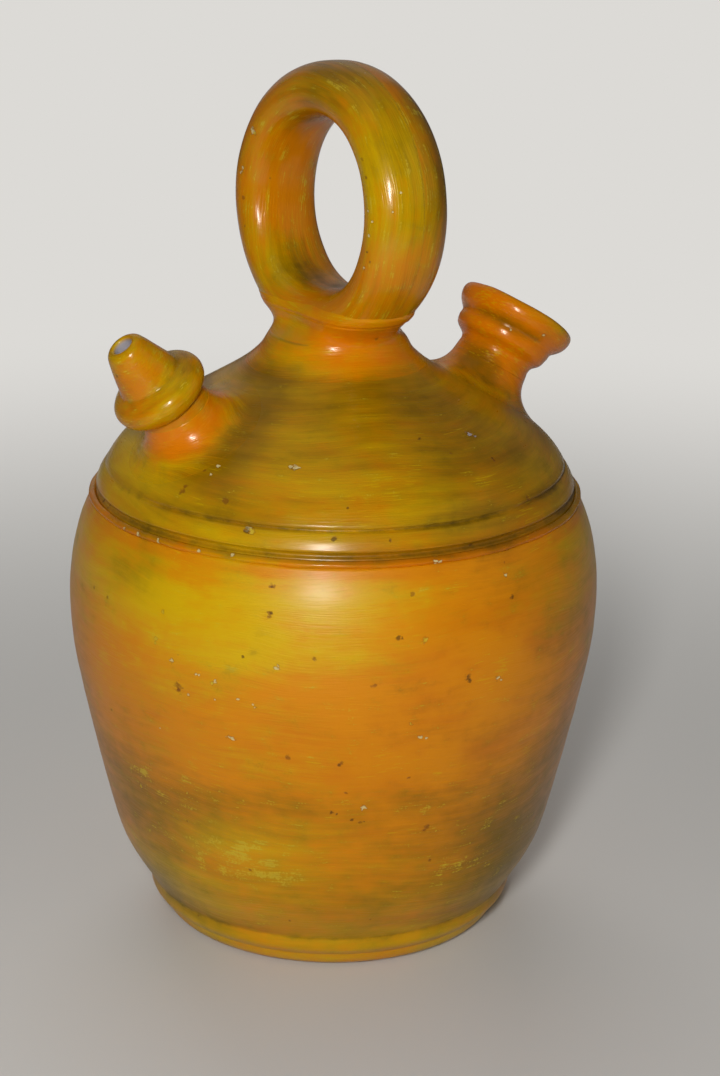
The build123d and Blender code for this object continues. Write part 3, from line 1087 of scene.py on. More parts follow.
@dataclass
class Luting(Piece):
    """Clay smoothed round the foot of a slanted neck, running out over the dome.

    Attributes:
        washes: the washes of what stands on the neck.
        sink: how far its buried side lies inside neck and dome.
        edge_share: share of sink by which its thin edge dips into the dome.
        own_from: shares of the way up between which the neck's washes take over from the jug's.
    """

    neck: SlantedNeck
    washes: Washes
    label: str
    stands_for: str
    columns: int = 240
    rows: int = 44
    sink: float = 0.5 * MM
    edge_share: float = 0.3
    edge_from: float = 0.9
    own_from: tuple = (0.20, 0.85)

    slot = "orange_wash"

    def __post_init__(self) -> None:
        """Takes its own name and node."""
        self.name, self.node = self.label, self.stands_for

    def shell(self) -> Shell:
        """Turns the smoothed curve round the neck's axis, and closes it just inside neck and dome.

        Returns:
            The surface.
        """
        angles = full_turn(self.columns)
        radii, heights = self.neck.luting(angles, self.rows)
        share = np.linspace(0.0, 1.0, self.rows)[:, None]
        heights = heights - self.edge_share * self.sink * smooth_step(share, self.edge_from, 1.0)
        inner = radii[0] - 2 * self.sink
        meeting = self.neck.dome_heights(angles, inner[None])[0]
        buried_radii = np.stack((radii[-1] - self.sink, inner, inner))
        buried_heights = np.stack((heights[-1] - self.sink, meeting - 2 * self.sink, heights[0]))
        radii = np.concatenate((radii, buried_radii))
        heights = np.concatenate((heights, buried_heights))
        points = self.neck.axis.revolve(radii, heights, angles)
        bearing, level = bearing_of(points), points[..., 2]
        climb = np.concatenate((1 - share[:, 0], np.zeros(len(buried_radii))))[:, None]
        blend = smooth_step(climb, *self.own_from)[..., None]
        own = self.washes.at(np.degrees(angles)[None], heights)
        wash = (1 - blend) * JUG_WASHES.at(bearing, level) + blend * own
        jug = jug_grain(points, grain_length(self.form, level))
        grain = (1 - blend) * jug + blend * self.neck.grain(points, heights)
        return Shell(self.form.uneven(points), grain, wash, np.zeros(level.shape))


@dataclass
class Nozzle(Piece):
    """Piece turned on its own and set on a slanted neck: its outline, bore and washes."""

    neck: SlantedNeck
    columns: int = 240
    bite: float = 5.0 * MM
    bore_step: float = 1.5 * MM
    # The hand's unevenness, long and short, which sets in above the smoothed clay
    unevenness: float = 0.16 * MM
    uneven_length: float = 9.0 * MM
    short_share: float = 0.3
    short_length: float = 3.0 * MM
    uneven_from: tuple = (12.0 * MM, 16.0 * MM)
    # Below this distance from the dome the bore has no wash, which ends over the next one
    bare_from: float = 0.0
    bare_fade: float = 1.0 * MM

    washes = SPOUT_WASHES

    def outline(self) -> tuple[Array, int]:
        """Outer outline and bore as one closed loop, with the row that the bore starts at."""
        raise NotImplementedError

    def foot(self, step: float) -> Array:
        """Outline of the neck, from inside the dome up.

        Args:
            step: distance between its points.

        Returns:
            Radius and distance from the dome of each point.
        """
        neck = self.neck
        deepest = -self.bite
        ends = np.array([(neck.radius_at(deepest), deepest), (neck.top_radius, neck.top)])
        return smooth_curve(ends, step)

    def shift(self, heights: Array, angles: Array) -> Array:
        """Distance that the hand pushed each place along the axis."""
        return np.zeros(np.broadcast(heights, angles).shape)

    def thinning(self, heights: Array, angles: Array) -> Array:
        """Distance by which a rib fades out at each place."""
        return np.zeros(np.broadcast(heights, angles).shape)

    def shell(self) -> Shell:
        """Turns the outline round the neck's axis, uneven by unevenness . n(p / uneven length).

        Returns:
            The surface.
        """
        noise = self.form.noise
        outline, bore = self.outline()
        angles = full_turn(self.columns)
        radii = np.repeat(outline[:, :1], self.columns, axis=1)
        heights = np.repeat(outline[:, 1:], self.columns, axis=1)
        heights = heights + self.shift(heights, angles[None])
        points = self.neck.axis.revolve(radii, heights, angles)
        rough = self.unevenness * noise.at(points, self.uneven_length, start=7.0)
        rough += self.short_share * self.unevenness * noise.at(points, self.short_length, start=8.0)
        rough *= smooth_step(outline[:, 1], *self.uneven_from)[:, None]
        rough[:bore] -= self.thinning(heights, angles[None])[:bore]
        points = self.neck.axis.revolve(radii + rough, heights, angles)
        along = run_length(outline)[:, None] + outline[0, 1] + 0 * heights
        wash = self.washes.at(np.degrees(angles)[None], heights)
        bare = np.zeros(heights.shape)
        bare[bore:] = smooth_step(self.bare_from - outline[bore:, 1], 0.0, self.bare_fade)[:, None]
        return Shell(self.form.uneven(points), self.neck.grain(points, along), wash, bare)


@dataclass
class DrinkingSpout(Nozzle):
    """Drinking spout: neck, lens-shaped flange and cone with a thin bore.

    Attributes:
        flange: outline of the flange. In this and the next three, each pair is radius and
            distance from the dome in millimetres.
        flange_turn: angle by which the lowest place lies off the downhill side, in radians.
    """

    flange: tuple = (
        (12.7, 14.1), (14.4, 14.9), (16.8, 16.9), (18.0, 20.2), (17.0, 23.3), (14.2, 25.6), (11.9, 27.1),
    )
    cone: tuple = ((11.9, 27.1), (10.9, 30.2), (9.4, 35.2), (7.7, 40.4))
    nose: tuple = ((7.7, 40.4), (6.9, 42.2), (5.6, 43.4), (4.4, 43.7), (3.75, 43.2))
    bore: tuple = ((3.75, 43.2), (3.65, 42.0), (3.65, 27.5), (6.5, 3.5), (6.5, -5.0))
    step: float = 0.4 * MM
    flange_tip: float = 0.9 * MM
    flange_turn: float = 0.6
    flange_middle: float = 20.5 * MM
    flange_spread: float = 5.0 * MM
    bare_from: float = 43.4 * MM
    throat: float = 6.5 * MM

    name = "drinking_nozzle"
    node = "drinking_spout"
    slot = "ochre_wash"

    def shift(self, heights: Array, angles: Array) -> Array:
        """The flange sags downhill: -tip cos(angle + turn) near its middle."""
        sag = -self.flange_tip * np.cos(angles + self.flange_turn)
        return sag * bell(heights, self.flange_middle, self.flange_spread)

    def outline(self) -> tuple[Array, int]:
        """Outline of neck, flange, cone and nose, then the straight runs of the bore.

        Returns:
            Radius and distance from the dome of each point, and the row that the bore starts at.
        """
        parts = [self.foot(2 * self.step)]
        parts += [smooth_curve(np.array(row) * MM, self.step) for row in (self.flange, self.cone, self.nose)]
        start = sum(len(part) - 1 for part in parts)
        bore = np.array(self.bore) * MM
        parts += [smooth_curve(bore[k : k + 2], self.bore_step) for k in range(len(bore) - 1)]
        return joined(*parts), start


@dataclass
class FillingMouth(Nozzle):
    """Filling mouth: neck, one rib and a rounded rim round a funnel.

    Attributes:
        rib: outline of the rib. In this and the next three, each pair is radius and distance
            from the dome in millimetres.
        dent_share: share of dent that the short dents have.
        long_dent: length of the long dents, in short ones.
        dent_radius: radius of the ring that the dents are counted along.
        dent_from: distances from the dome between which the dents set in.
        rib_loss: how much of the rib is gone on the downhill side.
    """

    rib: tuple = (
        (14.6, 13.7), (15.1, 15.4), (17.0, 17.2), (19.0, 19.0), (19.6, 20.9), (19.7, 22.4),
        (19.5, 23.6), (19.8, 24.8),
    )
    rim: tuple = (
        (19.8, 24.8), (21.0, 26.2), (22.3, 28.1), (23.1, 30.4), (23.1, 32.4), (22.2, 34.0), (20.8, 34.5),
        (19.4, 33.9), (18.6, 32.4),
    )
    funnel: tuple = ((18.6, 32.4), (16.6, 29.0), (13.6, 24.2), (11.0, 19.0), (10.2, 15.2))
    bore: tuple = ((10.2, 15.2), (10.2, -5.0))
    step: float = 0.45 * MM
    dent: float = 0.45 * MM
    dent_length: float = 7.0 * MM
    dent_share: float = 0.4
    long_dent: float = 2.4
    dent_radius: float = 20.0 * MM
    dent_from: tuple = (14.0 * MM, 20.0 * MM)
    rib_loss: float = 1.9 * MM
    rib_middle: float = 20.5 * MM
    rib_spread: float = 4.5 * MM
    bare_from: float = 24.0 * MM
    throat: float = 10.2 * MM

    name = "pouring_mouth"
    node = "filling_mouth"
    slot = "orange_wash"
    washes = MOUTH_WASHES

    def shift(self, heights: Array, angles: Array) -> Array:
        """Rib and rim wander along the axis: dent . n(round / dent length), long and short.

        Args:
            heights: distances from the dome.
            angles: one for each column.

        Returns:
            Distance that each place is moved by.
        """
        noise = self.form.noise
        ring = np.stack((np.cos(angles), np.sin(angles), 0 * angles), axis=-1) * self.dent_radius
        wander = self.dent * noise.at(ring, self.long_dent * self.dent_length, start=4.0)
        wander += self.dent_share * self.dent * noise.at(ring, self.dent_length, start=6.0)
        return wander * smooth_step(heights, *self.dent_from)

    def thinning(self, heights: Array, angles: Array) -> Array:
        """The rib fades by rib loss on the downhill side: (1 - cos a)^2 / 4 of it."""
        low = 0.25 * (1 - np.cos(angles)) ** 2
        return self.rib_loss * low * bell(heights, self.rib_middle, self.rib_spread)

    def outline(self) -> tuple[Array, int]:
        """Outline of neck, rib and rim, then funnel and bore.

        Returns:
            Radius and distance from the dome of each point, and the row that the bore starts at.
        """
        parts = [self.foot(2 * self.step)]
        parts += [smooth_curve(np.array(row) * MM, self.step) for row in (self.rib, self.rim)]
        start = sum(len(part) - 1 for part in parts)
        parts += [smooth_curve(np.array(row) * MM, self.bore_step) for row in (self.funnel, self.bore)]
        return joined(*parts), start


# Section of the ring: across as a share of the half width, outwards as a share of the thickness
RING_SECTION_SHARES = (
    (0.000, 1.000), (0.540, 0.930), (0.880, 0.730), (1.000, 0.470), (0.890, 0.215), (0.550, 0.052),
    (0.000, 0.000), (-0.550, 0.052), (-0.890, 0.215), (-1.000, 0.470), (-0.880, 0.730), (-0.540, 0.930),
)


@dataclass
class RingHandle(Piece):
    """Rolled ring that stands across the jug, flattened and set a little askew.

    Attributes:
        twist: degrees that it is turned about the upright.
        lean: degrees that it leans towards the mouth.
        fine_step: distance between the points that the section is first drawn with.
        uneven_by: how far it swells and thins.
        short_share: share of that which is added over a shorter length.
        brush_ridge: height of the ridges that the brush left.
        ridge_length: their length along both ways round the ring, and their width.
    """

    outer: float = 51.4 * MM
    hole: float = 30.9 * MM
    half_width: float = 16.1 * MM
    twist: float = 3.0
    lean: float = 2.1
    columns: int = 540
    rows: int = 144
    fine_step: float = 0.2 * MM
    uneven_by: float = 0.45 * MM
    uneven_length: float = 34.0 * MM
    short_share: float = 0.25
    short_length: float = 11.0 * MM
    brush_ridge: float = 0.05 * MM
    ridge_length: tuple = (30.0 * MM, 30.0 * MM, 2.2 * MM)

    name = "ring_grip"
    node = "ring_handle"
    slot = "ochre_wash"

    @property
    def centre(self) -> float:
        """Height of the ring's middle."""
        low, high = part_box(self.node)
        return 0.5 * (low.z + high.z)

    @property
    def frame(self) -> tuple[Array, Array, Array]:
        """Directions of the leaning, twisted ring.

        Returns:
            Across the ring, up in its plane, and towards its near limb in its plane.
        """
        twist, lean = math.radians(self.twist), math.radians(self.lean)
        across = np.array(
            (math.cos(twist) * math.cos(lean), math.sin(twist) * math.cos(lean), -math.sin(lean))
        )
        near = np.array((math.sin(twist), -math.cos(twist), 0.0))
        return across, np.cross(near, across), near

    def section(self) -> Array:
        """Smooth closed section, from its outermost point on.

        The spline runs three times round and its middle round is kept, so that it closes smoothly.

        Returns:
            Place across and distance from the ring's middle, one row for each point.
        """
        shares = np.array(RING_SECTION_SHARES)
        corners = len(shares)
        three = np.concatenate((shares, shares, shares, shares[:1]))
        places = three * (self.half_width, self.outer - self.hole) + (0.0, self.hole)
        dense = smooth_curve(places, self.fine_step)
        knots = run_length(places)
        lengths = np.linspace(0, knots[-1], len(dense))
        chosen = np.linspace(knots[corners], knots[2 * corners], self.rows, endpoint=False)
        return np.stack([np.interp(chosen, lengths, dense[:, k]) for k in range(2)], axis=-1)

    def shell(self) -> Shell:
        """P = centre + (q + dq) (cos a up + sin a near) + w across, for each section point (w, q).

        Returns:
            The surface.
        """
        noise = self.form.noise
        across, up, near = self.frame
        section = self.section()
        turn = full_turn(self.columns)
        middle = np.array((0.0, 0.0, self.centre))
        spoke = np.cos(turn)[:, None] * up + np.sin(turn)[:, None] * near
        points = middle + section[:, 1, None, None] * spoke + section[:, 0, None, None] * across
        bulge = self.uneven_by * noise.at(points, self.uneven_length, start=9.0)
        bulge += self.short_share * self.uneven_by * noise.at(points, self.short_length, start=10.0)
        core = 0.5 * (self.outer + self.hole)
        outward = points - (middle + core * spoke)
        outward /= np.linalg.norm(outward, axis=-1, keepdims=True)
        along = run_length(section)[:, None] + 0 * turn
        grain = np.stack(
            (core * np.cos(turn) + 0 * along, core * np.sin(turn) + 0 * along, along), axis=-1
        )
        ridges = noise.at(grain, self.ridge_length)
        points = points + (bulge + self.brush_ridge * ridges)[..., None] * outward
        girth = along[-1, 0] + np.linalg.norm(section[0] - section[-1])
        face = np.mod(360.0 * (1 - along / girth), 360.0)
        degrees = np.degrees(np.mod(turn + math.pi, 2 * math.pi) - math.pi)
        wash = RING_WASHES.at(degrees[None], face)
        return Shell(points, grain, wash, np.zeros(face.shape))


@dataclass
class CollarRows:
    """Level outlines that follow one another over the collar.

    Attributes:
        levels: height of each row.
        middles: x of each row's middle.
        radii: rows x columns, distances from that middle.
    """

    levels: Array
    middles: Array
    radii: Array

    def then(self, other: "CollarRows") -> "CollarRows":
        """These rows with the other ones after them."""
        pairs = ((self.levels, other.levels), (self.middles, other.middles), (self.radii, other.radii))
        return CollarRows(*(np.concatenate(pair) for pair in pairs))


@dataclass
class HandleSeam(Piece):
    """Collar of luting clay: from the round neck out to a crease under the ring, and up onto it.

    crease_rise, waist_rise and band_top are heights above the neck's top, and band_start is one
    above the crease.

    Attributes:
        ring: the ring that stands on it.
        start_drop: how far below the neck's top it starts.
        foot_shares: shares of start_drop at which it lies on the neck.
        foot_covers: how thick it lies there, in millimetres.
        end_cover: how far the crease stands out from the ring's outer edge.
        side_cover: how far it stands out from the ring's sides.
        notch: depth of the cut that is left between crease and ring.
        cut_rises: heights above the crease at which the cut is drawn, in millimetres.
        cut_shares: shares of the notch that it is deep there.
        far_side: sines of the angle between which the cut fades out on the far side.
        smear_fade: shares of the smeared band between which it thins out.
        tuck: depth to which its upper edge is tucked into the ring.
        core_share: size of the closing rows inside, as a share of the outlines near them.
        core_dip: how far the upper one lies below the band's top.
        rough_from: share of start_drop, below the neck's top, from which the clay is uneven.
        own_to: the same for where the collar's own washes have taken over.
    """

    ring: RingHandle
    columns: int = 360
    step: float = 0.35 * MM
    crease_rise: float = 8.0 * MM
    waist_rise: float = 4.5 * MM
    start_drop: float = 13.0 * MM
    foot_shares: tuple = (1.0, 0.7, 0.4, 0.1)
    foot_covers: tuple = (-0.35, 0.12, 0.22, 0.30)
    waist_length: float = 28.6 * MM
    waist_width: float = 17.8 * MM
    end_cover: float = 0.43 * MM
    side_cover: float = 0.9 * MM
    notch: float = 0.45 * MM
    cut_rises: tuple = (0.25, 0.55, 0.95)
    cut_shares: tuple = (0.75, 1.0, 0.55)
    far_side: tuple = (0.2, 0.8)
    band_start: float = 1.4 * MM
    band_top: float = 13.4 * MM
    band_rows: int = 16
    smear: float = 0.7 * MM
    smear_fade: tuple = (0.55, 1.0)
    tuck: float = 0.25 * MM
    core_share: float = 0.45
    core_dip: float = 1.5 * MM
    roughness: float = 0.22 * MM
    rough_length: float = 8.0 * MM
    rough_from: float = 0.5
    own_to: float = 0.3

    name = "luting_collar"
    node = "handle_seam"
    slot = "orange_wash"

    @property
    def crease(self) -> float:
        """Height of the crease under the ring."""
        return self.form.neck_top + self.crease_rise

    @property
    def middle(self) -> float:
        """x of the leaning ring's middle line at the height of the crease."""
        return -(self.ring.centre - self.crease) * math.sin(math.radians(self.ring.lean))

    @staticmethod
    def slot_radius(length: float, width: float, angles: Array) -> Array:
        """Distance from the middle to the edge of a round-ended slot that runs along Y.

        The ray meets the straight side at width / |cos a|. Beyond the side's end it meets the
        end circle, d from the middle: d |sin a| + sqrt(width^2 - d^2 cos^2 a).

        Args:
            length: half the length of the slot.
            width: half its width.
            angles: direction of each ray.

        Returns:
            The distance along each ray.
        """
        cosine, sine = np.abs(np.cos(angles)), np.abs(np.sin(angles))
        d = length - width
        flat = width / np.maximum(cosine, 1e-6)
        round_end = d * sine + np.sqrt(np.maximum(width**2 - (d * cosine) ** 2, 0))
        return np.where(flat * sine < d, flat, round_end)

    def ring_reach(self, angles: Array, middles: Array, levels: Array) -> Array:
        """Distances at which level rays leave the ring, by halving.

        Args:
            angles: direction of each ray.
            middles: x that the rays of each row start at.
            levels: height of each row.

        Returns:
            rows x columns distances.
        """
        across, _, _ = self.ring.frame
        right = self.ring.section()[: self.ring.rows // 2 + 1]
        order = np.argsort(right[:, 1])
        low = np.zeros((len(levels), len(angles)))
        # Every ray has left the ring before it ends
        high = np.full(low.shape, 1.2 * self.ring.outer)
        turned = angles + math.radians(self.ring.twist)
        centre = np.array((0.0, 0.0, self.ring.centre))
        for _ in range(HALVINGS):
            reach = 0.5 * (low + high)
            x = middles[:, None] + reach * np.cos(turned)
            y = reach * np.sin(turned)
            places = np.stack((x, y, levels[:, None] + 0 * x), axis=-1) - centre
            side = places @ across
            spoke = np.linalg.norm(places - side[..., None] * across, axis=-1)
            half = np.interp(spoke, right[order, 1], right[order, 0], left=0.0, right=0.0)
            inside = np.abs(side) < half
            low, high = np.where(inside, reach, low), np.where(inside, high, reach)
        return 0.5 * (low + high)

    def skirt(self, angles: Array) -> CollarRows:
        """Rows from the round neck through the waist out to the slot-shaped crease.

        Args:
            angles: one for each column.

        Returns:
            The rows, upwards.
        """
        ring, top = self.ring, self.form.neck_top
        lows = top - self.start_drop * np.array(self.foot_shares)
        rounds = (self.form.radius_at(lows) + np.array(self.foot_covers) * MM)[:, None] + 0 * angles
        waist = self.slot_radius(self.waist_length, self.waist_width, angles)
        reach = math.sqrt(ring.outer**2 - (ring.centre - self.crease) ** 2) + self.end_cover
        edge = self.slot_radius(reach, ring.half_width + self.side_cover, angles)
        radii = np.concatenate((rounds, waist[None], edge[None]))
        levels = np.concatenate((lows, (top + self.waist_rise, self.crease)))
        middles = np.concatenate((0 * lows, (0.5 * self.middle, self.middle)))
        # The radii count as one length, so that the rows lie a step apart
        scale = math.sqrt(self.columns)
        curve = smooth_curve(np.column_stack((levels, middles, radii / scale)), self.step)
        return CollarRows(curve[:, 0], curve[:, 1], curve[:, 2:] * scale)

    def smeared(self, angles: Array, edge: Array) -> CollarRows:
        """Rows of the cut above the crease and of the band of clay smeared up the ring.

        With t from 0 to 1 up the band, it lies excess (1 - t)^2 + smear (1 - step t) - tuck t^4
        off the ring, where excess is how far the crease stands out.

        Args:
            angles: one for each column.
            edge: radii of the crease.

        Returns:
            The rows, upwards.
        """
        rises = np.linspace(self.band_start, self.band_top - self.crease_rise, self.band_rows)
        middles = np.full(self.band_rows, self.middle)
        t = (rises / rises[-1])[:, None]
        excess = edge - self.ring_reach(angles, middles[:1], np.array([self.crease]))[0]
        thick = excess * (1 - t) ** 2 + self.smear * (1 - smooth_step(t, *self.smear_fade)) - self.tuck * t**4
        band = self.ring_reach(angles, middles, self.crease + rises) + thick
        cuts = np.array(self.cut_rises) * MM
        near = 1 - smooth_step(np.sin(angles), *self.far_side)
        depth = np.array(self.cut_shares)[:, None] * self.notch * near
        cut = edge + (band[0] - edge) * (cuts / rises[0])[:, None] - depth
        levels = self.crease + np.concatenate((cuts, rises))
        return CollarRows(levels, np.full(len(levels), self.middle), np.concatenate((cut, band)))

    def core(self, rows: CollarRows) -> CollarRows:
        """Two rows inside the clay that lead from the collar's last row back to its first.

        Args:
            rows: all the rows before them.

        Returns:
            The rows, downwards.
        """
        levels = np.array((rows.levels[-1] - self.core_dip, rows.levels[0]))
        middles = np.array((rows.middles[-1], rows.middles[0]))
        return CollarRows(levels, middles, self.core_share * rows.radii[[-1, 0]])

    def shell(self) -> Shell:
        """Lays the rows round, with the ring's twist setting in between neck and crease.

        Returns:
            The surface.
        """
        form, top = self.form, self.form.neck_top
        angles = full_turn(self.columns)
        rows = self.skirt(angles)
        rows = rows.then(self.smeared(angles, rows.radii[-1]))
        rows = rows.then(self.core(rows))
        levels, radii = rows.levels[:, None], rows.radii
        places = np.stack((radii * np.cos(angles), radii * np.sin(angles), levels + 0 * radii), axis=-1)
        rough = self.roughness * form.noise.at(places, self.rough_length)
        radii = radii + rough * smooth_step(levels, top - self.rough_from * self.start_drop, top)
        turned = angles + math.radians(self.ring.twist) * smooth_step(levels, top, self.crease)
        x = rows.middles[:, None] + radii * np.cos(turned)
        points = np.stack((x, radii * np.sin(turned), levels + 0 * x), axis=-1)
        bearing, height = bearing_of(points), points[..., 2]
        along = grain_length(form, np.minimum(height, top)) + np.maximum(height - top, 0)
        blend = smooth_step(height, top - self.start_drop, top - self.own_to * self.start_drop)[..., None]
        wash = (1 - blend) * JUG_WASHES.at(bearing, height) + blend * COLLAR_WASHES.at(bearing, height)
        return Shell(form.uneven(points), jug_grain(points, along), wash, np.zeros(x.shape))


# The place that the picture was taken from


@dataclass(frozen=True)
class Viewpoint:
    """Where the picture was taken from.

    Attributes:
        heading: degrees from Y towards X.
        pitch: degrees by which it looks down.
        roll: degrees by which it is turned about its line of sight.
        lens: focal length in millimetres.
        film: height of the film in millimetres.
        sight: distance beyond which nothing is drawn.
        columns: width of the picture in pixels, and rows is its height.
    """

    place: tuple = (-0.4902, -0.7548, 0.447)
    heading: float = 33.62
    pitch: float = 18.38
    roll: float = 0.91
    lens: float = 83.64
    film: float = 36.0
    sight: float = 50.0
    columns: int = 720
    rows: int = 1076

    @property
    def directions(self) -> tuple[Array, Array, Array]:
        """Square directions of the picture.

        Returns:
            To its right, up, and into it.
        """
        heading, pitch, roll = (math.radians(a) for a in (self.heading, self.pitch, self.roll))
        forward = np.array(
            (math.sin(heading) * math.cos(pitch), math.cos(heading) * math.cos(pitch), -math.sin(pitch))
        )
        level = np.array((math.cos(heading), -math.sin(heading), 0.0))
        upright = np.cross(level, forward)
        right = math.cos(roll) * level + math.sin(roll) * upright
        up = -math.sin(roll) * level + math.cos(roll) * upright
        return right, up, forward

    def towards(self, column: float, row: float) -> Vector:
        """Direction from the lens to what a pixel shows.

        Args:
            column: pixels from the left edge of the picture.
            row: pixels from its top edge.

        Returns:
            The direction, of any length.
        """
        right, up, forward = self.directions
        away = self.lens / self.film * self.rows
        across, down = column - 0.5 * self.columns, row - 0.5 * self.rows
        return Vector((away * forward + across * right - down * up).tolist())

    def make(self) -> bpy.types.Object:
        """Adds the camera and makes it the scene's.

        Returns:
            The camera.
        """
        data = bpy.data.cameras.new("photo_camera")
        data.sensor_fit = "VERTICAL"
        data.sensor_height = self.film
        data.sensor_width = self.film
        data.lens = self.lens
        data.clip_end = self.sight
        camera = bpy.data.objects.new("photo_camera", data)
        right, up, forward = self.directions
        matrix = np.eye(4)
        matrix[:3] = np.column_stack((right, up, -forward, self.place))
        camera.matrix_world = Matrix(matrix.tolist())
        bpy.context.scene.collection.objects.link(camera)
        bpy.context.scene.camera = camera
        return camera


# Finishes


def linear(code: str) -> tuple:
    """Linear RGBA of an sRGB colour code: c / 12.92, or ((c + 0.055) / 1.055)^2.4 above 0.04045."""
    shares = [int(code[k : k + 2], 16) / 255 for k in (1, 3, 5)]
    return tuple(c / 12.92 if c <= 0.04045 else ((c + 0.055) / 1.055) ** 2.4 for c in shares) + (1.0,)


def add_node(
    tree: bpy.types.NodeTree, kind: str, inputs: dict | None = None, **settings: object
) -> bpy.types.Node:
    """Adds a shader node.

    Args:
        tree: node tree that it goes in.
        kind: its type.
        inputs: by socket name or number, a value or the output that is linked there.
        settings: its own properties.

    Returns:
        The node.
    """
    made = tree.nodes.new(kind)
    for key, value in settings.items():
        setattr(made, key, value)
    for key, value in (inputs or {}).items():
        if isinstance(value, bpy.types.NodeSocket):
            tree.links.new(value, made.inputs[key])
        else:
            made.inputs[key].default_value = value
    return made


@dataclass(frozen=True)
class Noise:
    """A noise that the coats are drawn with.

    Attributes:
        cell: size of its cells along x, y and z in millimetres.
        brushed: whether it runs along the brush strokes, or lies evenly in space.
        offset: where it starts, so that no two are alike.
        detail: how many finer noises it holds.
    """

    cell: tuple
    brushed: bool
    offset: float
    detail: float = 2.0


# Real brush hairs leave lines 0.1 mm wide, too fine to show, so "hairs" and "scratches" are drawn
# as coarse as they need to show. For the same reason "grit" is coarser than the clay's real grains.
NOISES = {
    "sway": Noise((85, 85, 60), False, 7.7, 1.0),
    "bands": Noise((55, 55, 11), True, 0.0),
    "strokes": Noise((24, 24, 3.0), True, 3.1),
    "streaks": Noise((22, 22, 2.4), True, 8.7),
    "hairs": Noise((11, 11, 0.55), True, 5.9, 1.0),
    "scratches": Noise((9, 9, 0.5), True, 12.9, 1.0),
    "clouds": Noise((30, 30, 22), False, 1.7, 3.0),
    "mottle": Noise((6, 6, 4.5), False, 6.3, 4.0),
    "grit": Noise((0.9, 0.9, 0.9), False, 2.2, 1.0),
    "loose": Noise((1.5, 1.5, 1.1), False, 4.4, 3.0),
}
# The noises that a finish's streak makes stronger
STREAKY = ("strokes", "streaks", "hairs")
# Distance between the iron pits
PIT_SPACING = 13.0 * MM
# What makes the wax duller, and the heights in the surface as shares of a finish's bump
DULLNESS = {"mottle": 0.16, "hairs": 0.12, "crevice_shade": 0.25, "hollow": 0.3, "bare": 0.4}
RELIEF = {"hairs": 2.0, "strokes": 1.2, "grit": 0.35, "mottle": 1.5, "hollow": -3.0}
# Sockets of a mix node for colours: cover, colour below and above, and the colour that it makes
MIX_COVER, MIX_BELOW, MIX_ABOVE, MIXED = 0, 6, 7, 2


@dataclass(frozen=True)
class Layer:
    """A coat that covers what is below it where a weighted sum of signals is high.

    Attributes:
        name: what its cover is called as a signal.
        colour: name of its colour in the finish.
        terms: weight of each signal. Noises are counted from their middle.
        low: sum at which it starts.
        high: sum at which it has its full cover.
        cover: full cover.
    """

    name: str
    colour: str
    terms: dict
    low: float
    high: float
    cover: float


LAYERS = (
    Layer("thick", "warm", {"bands": 1.0, "clouds": 1.6, "streaks": 0.25, "mottle": 0.35}, -0.15, 0.45, 0.75),
    Layer(
        "yellow_wash", "yellow",
        {"yellow": 1.0, "bands": 0.75, "strokes": 0.46, "hairs": 0.24, "clouds": 1.0, "mottle": 0.55},
        0.0, 1.0, 0.92,
    ),
    Layer(
        "smoke", "olive",
        {"olive": 1.0, "streaks": 0.32, "bands": -0.4, "clouds": 0.65, "mottle": 0.38, "hairs": 0.18},
        0.05, 1.0, 0.9,
    ),
    Layer("fine_scratches", "yellow", {"scratches": 1.0, "clouds": -0.8, "mottle": 0.7}, 0.22, 0.34, 0.38),
    Layer(
        "worn", "pale",
        {"scuff": 1.0, "strokes": 1.1, "mottle": 2.4, "hairs": 1.4, "grit": 1.3}, 0.62, 1.15, 0.75,
    ),
    # Painted shade: darkens grooves, creases and the bottom of the ring's hole
    Layer("crevice_shade", "grime", {"grime": 1.0, "mottle": 0.9, "clouds": 0.7, "grit": 0.3}, 0.08, 0.95, 0.85),
    Layer("pit", "rust", {"pit_reach": -1.0, "pit_tone": 0.16, "mottle": 0.5}, 0.080, 0.115, 0.55),
)

# How far each colour covers the wash, and how ragged a chip's outline is
CHIP_STRENGTH = {"chalk": 0.88, "pale": 0.8, "dust": 0.85, "grime": 0.6, "rust": 0.45}
RAGGEDNESS = 3.4


@dataclass(frozen=True)
class Chip:
    """A place where wash or clay is gone, or where dirt sits.

    Attributes:
        where: point on the piece.
        radius: its size.
        colour: name of its colour in the finish.
    """

    where: tuple
    radius: float
    colour: str

    @classmethod
    def on_piece(cls, made: bpy.types.Object, node: str, view: Viewpoint) -> list["Chip"]:
        """Lays a node's chips where their pixels' lines of sight meet the made piece.

        Args:
            made: the piece.
            node: its CAD node.
            view: where the picture was taken from.

        Returns:
            The chips.
        """
        tree = BVHTree.FromObject(made, bpy.context.evaluated_depsgraph_get())
        chips = []
        for column, row, radius, colour in PHOTO_CHIPS.get(node, ()):
            met = tree.ray_cast(Vector(view.place), view.towards(column, row))[0]
            if met is None:
                log.warning("%s: nothing at pixel %s, %s", node, column, row)
            else:
                chips.append(cls(tuple(met), radius * MM, colour))
        return chips

    def layers(self) -> tuple[Layer, Layer]:
        """The chip's coats, both with a ragged outline.

        Returns:
            A thin brown edge, and the chip's own colour inside it.
        """
        terms = {"reach": -1 / self.radius, "loose": RAGGEDNESS}
        strength = CHIP_STRENGTH[self.colour]
        return (
            Layer("edge", "rust", terms, low=-1.30, high=-0.80, cover=0.35),
            Layer("chip", self.colour, terms, low=-0.90, high=-0.45, cover=strength),
        )


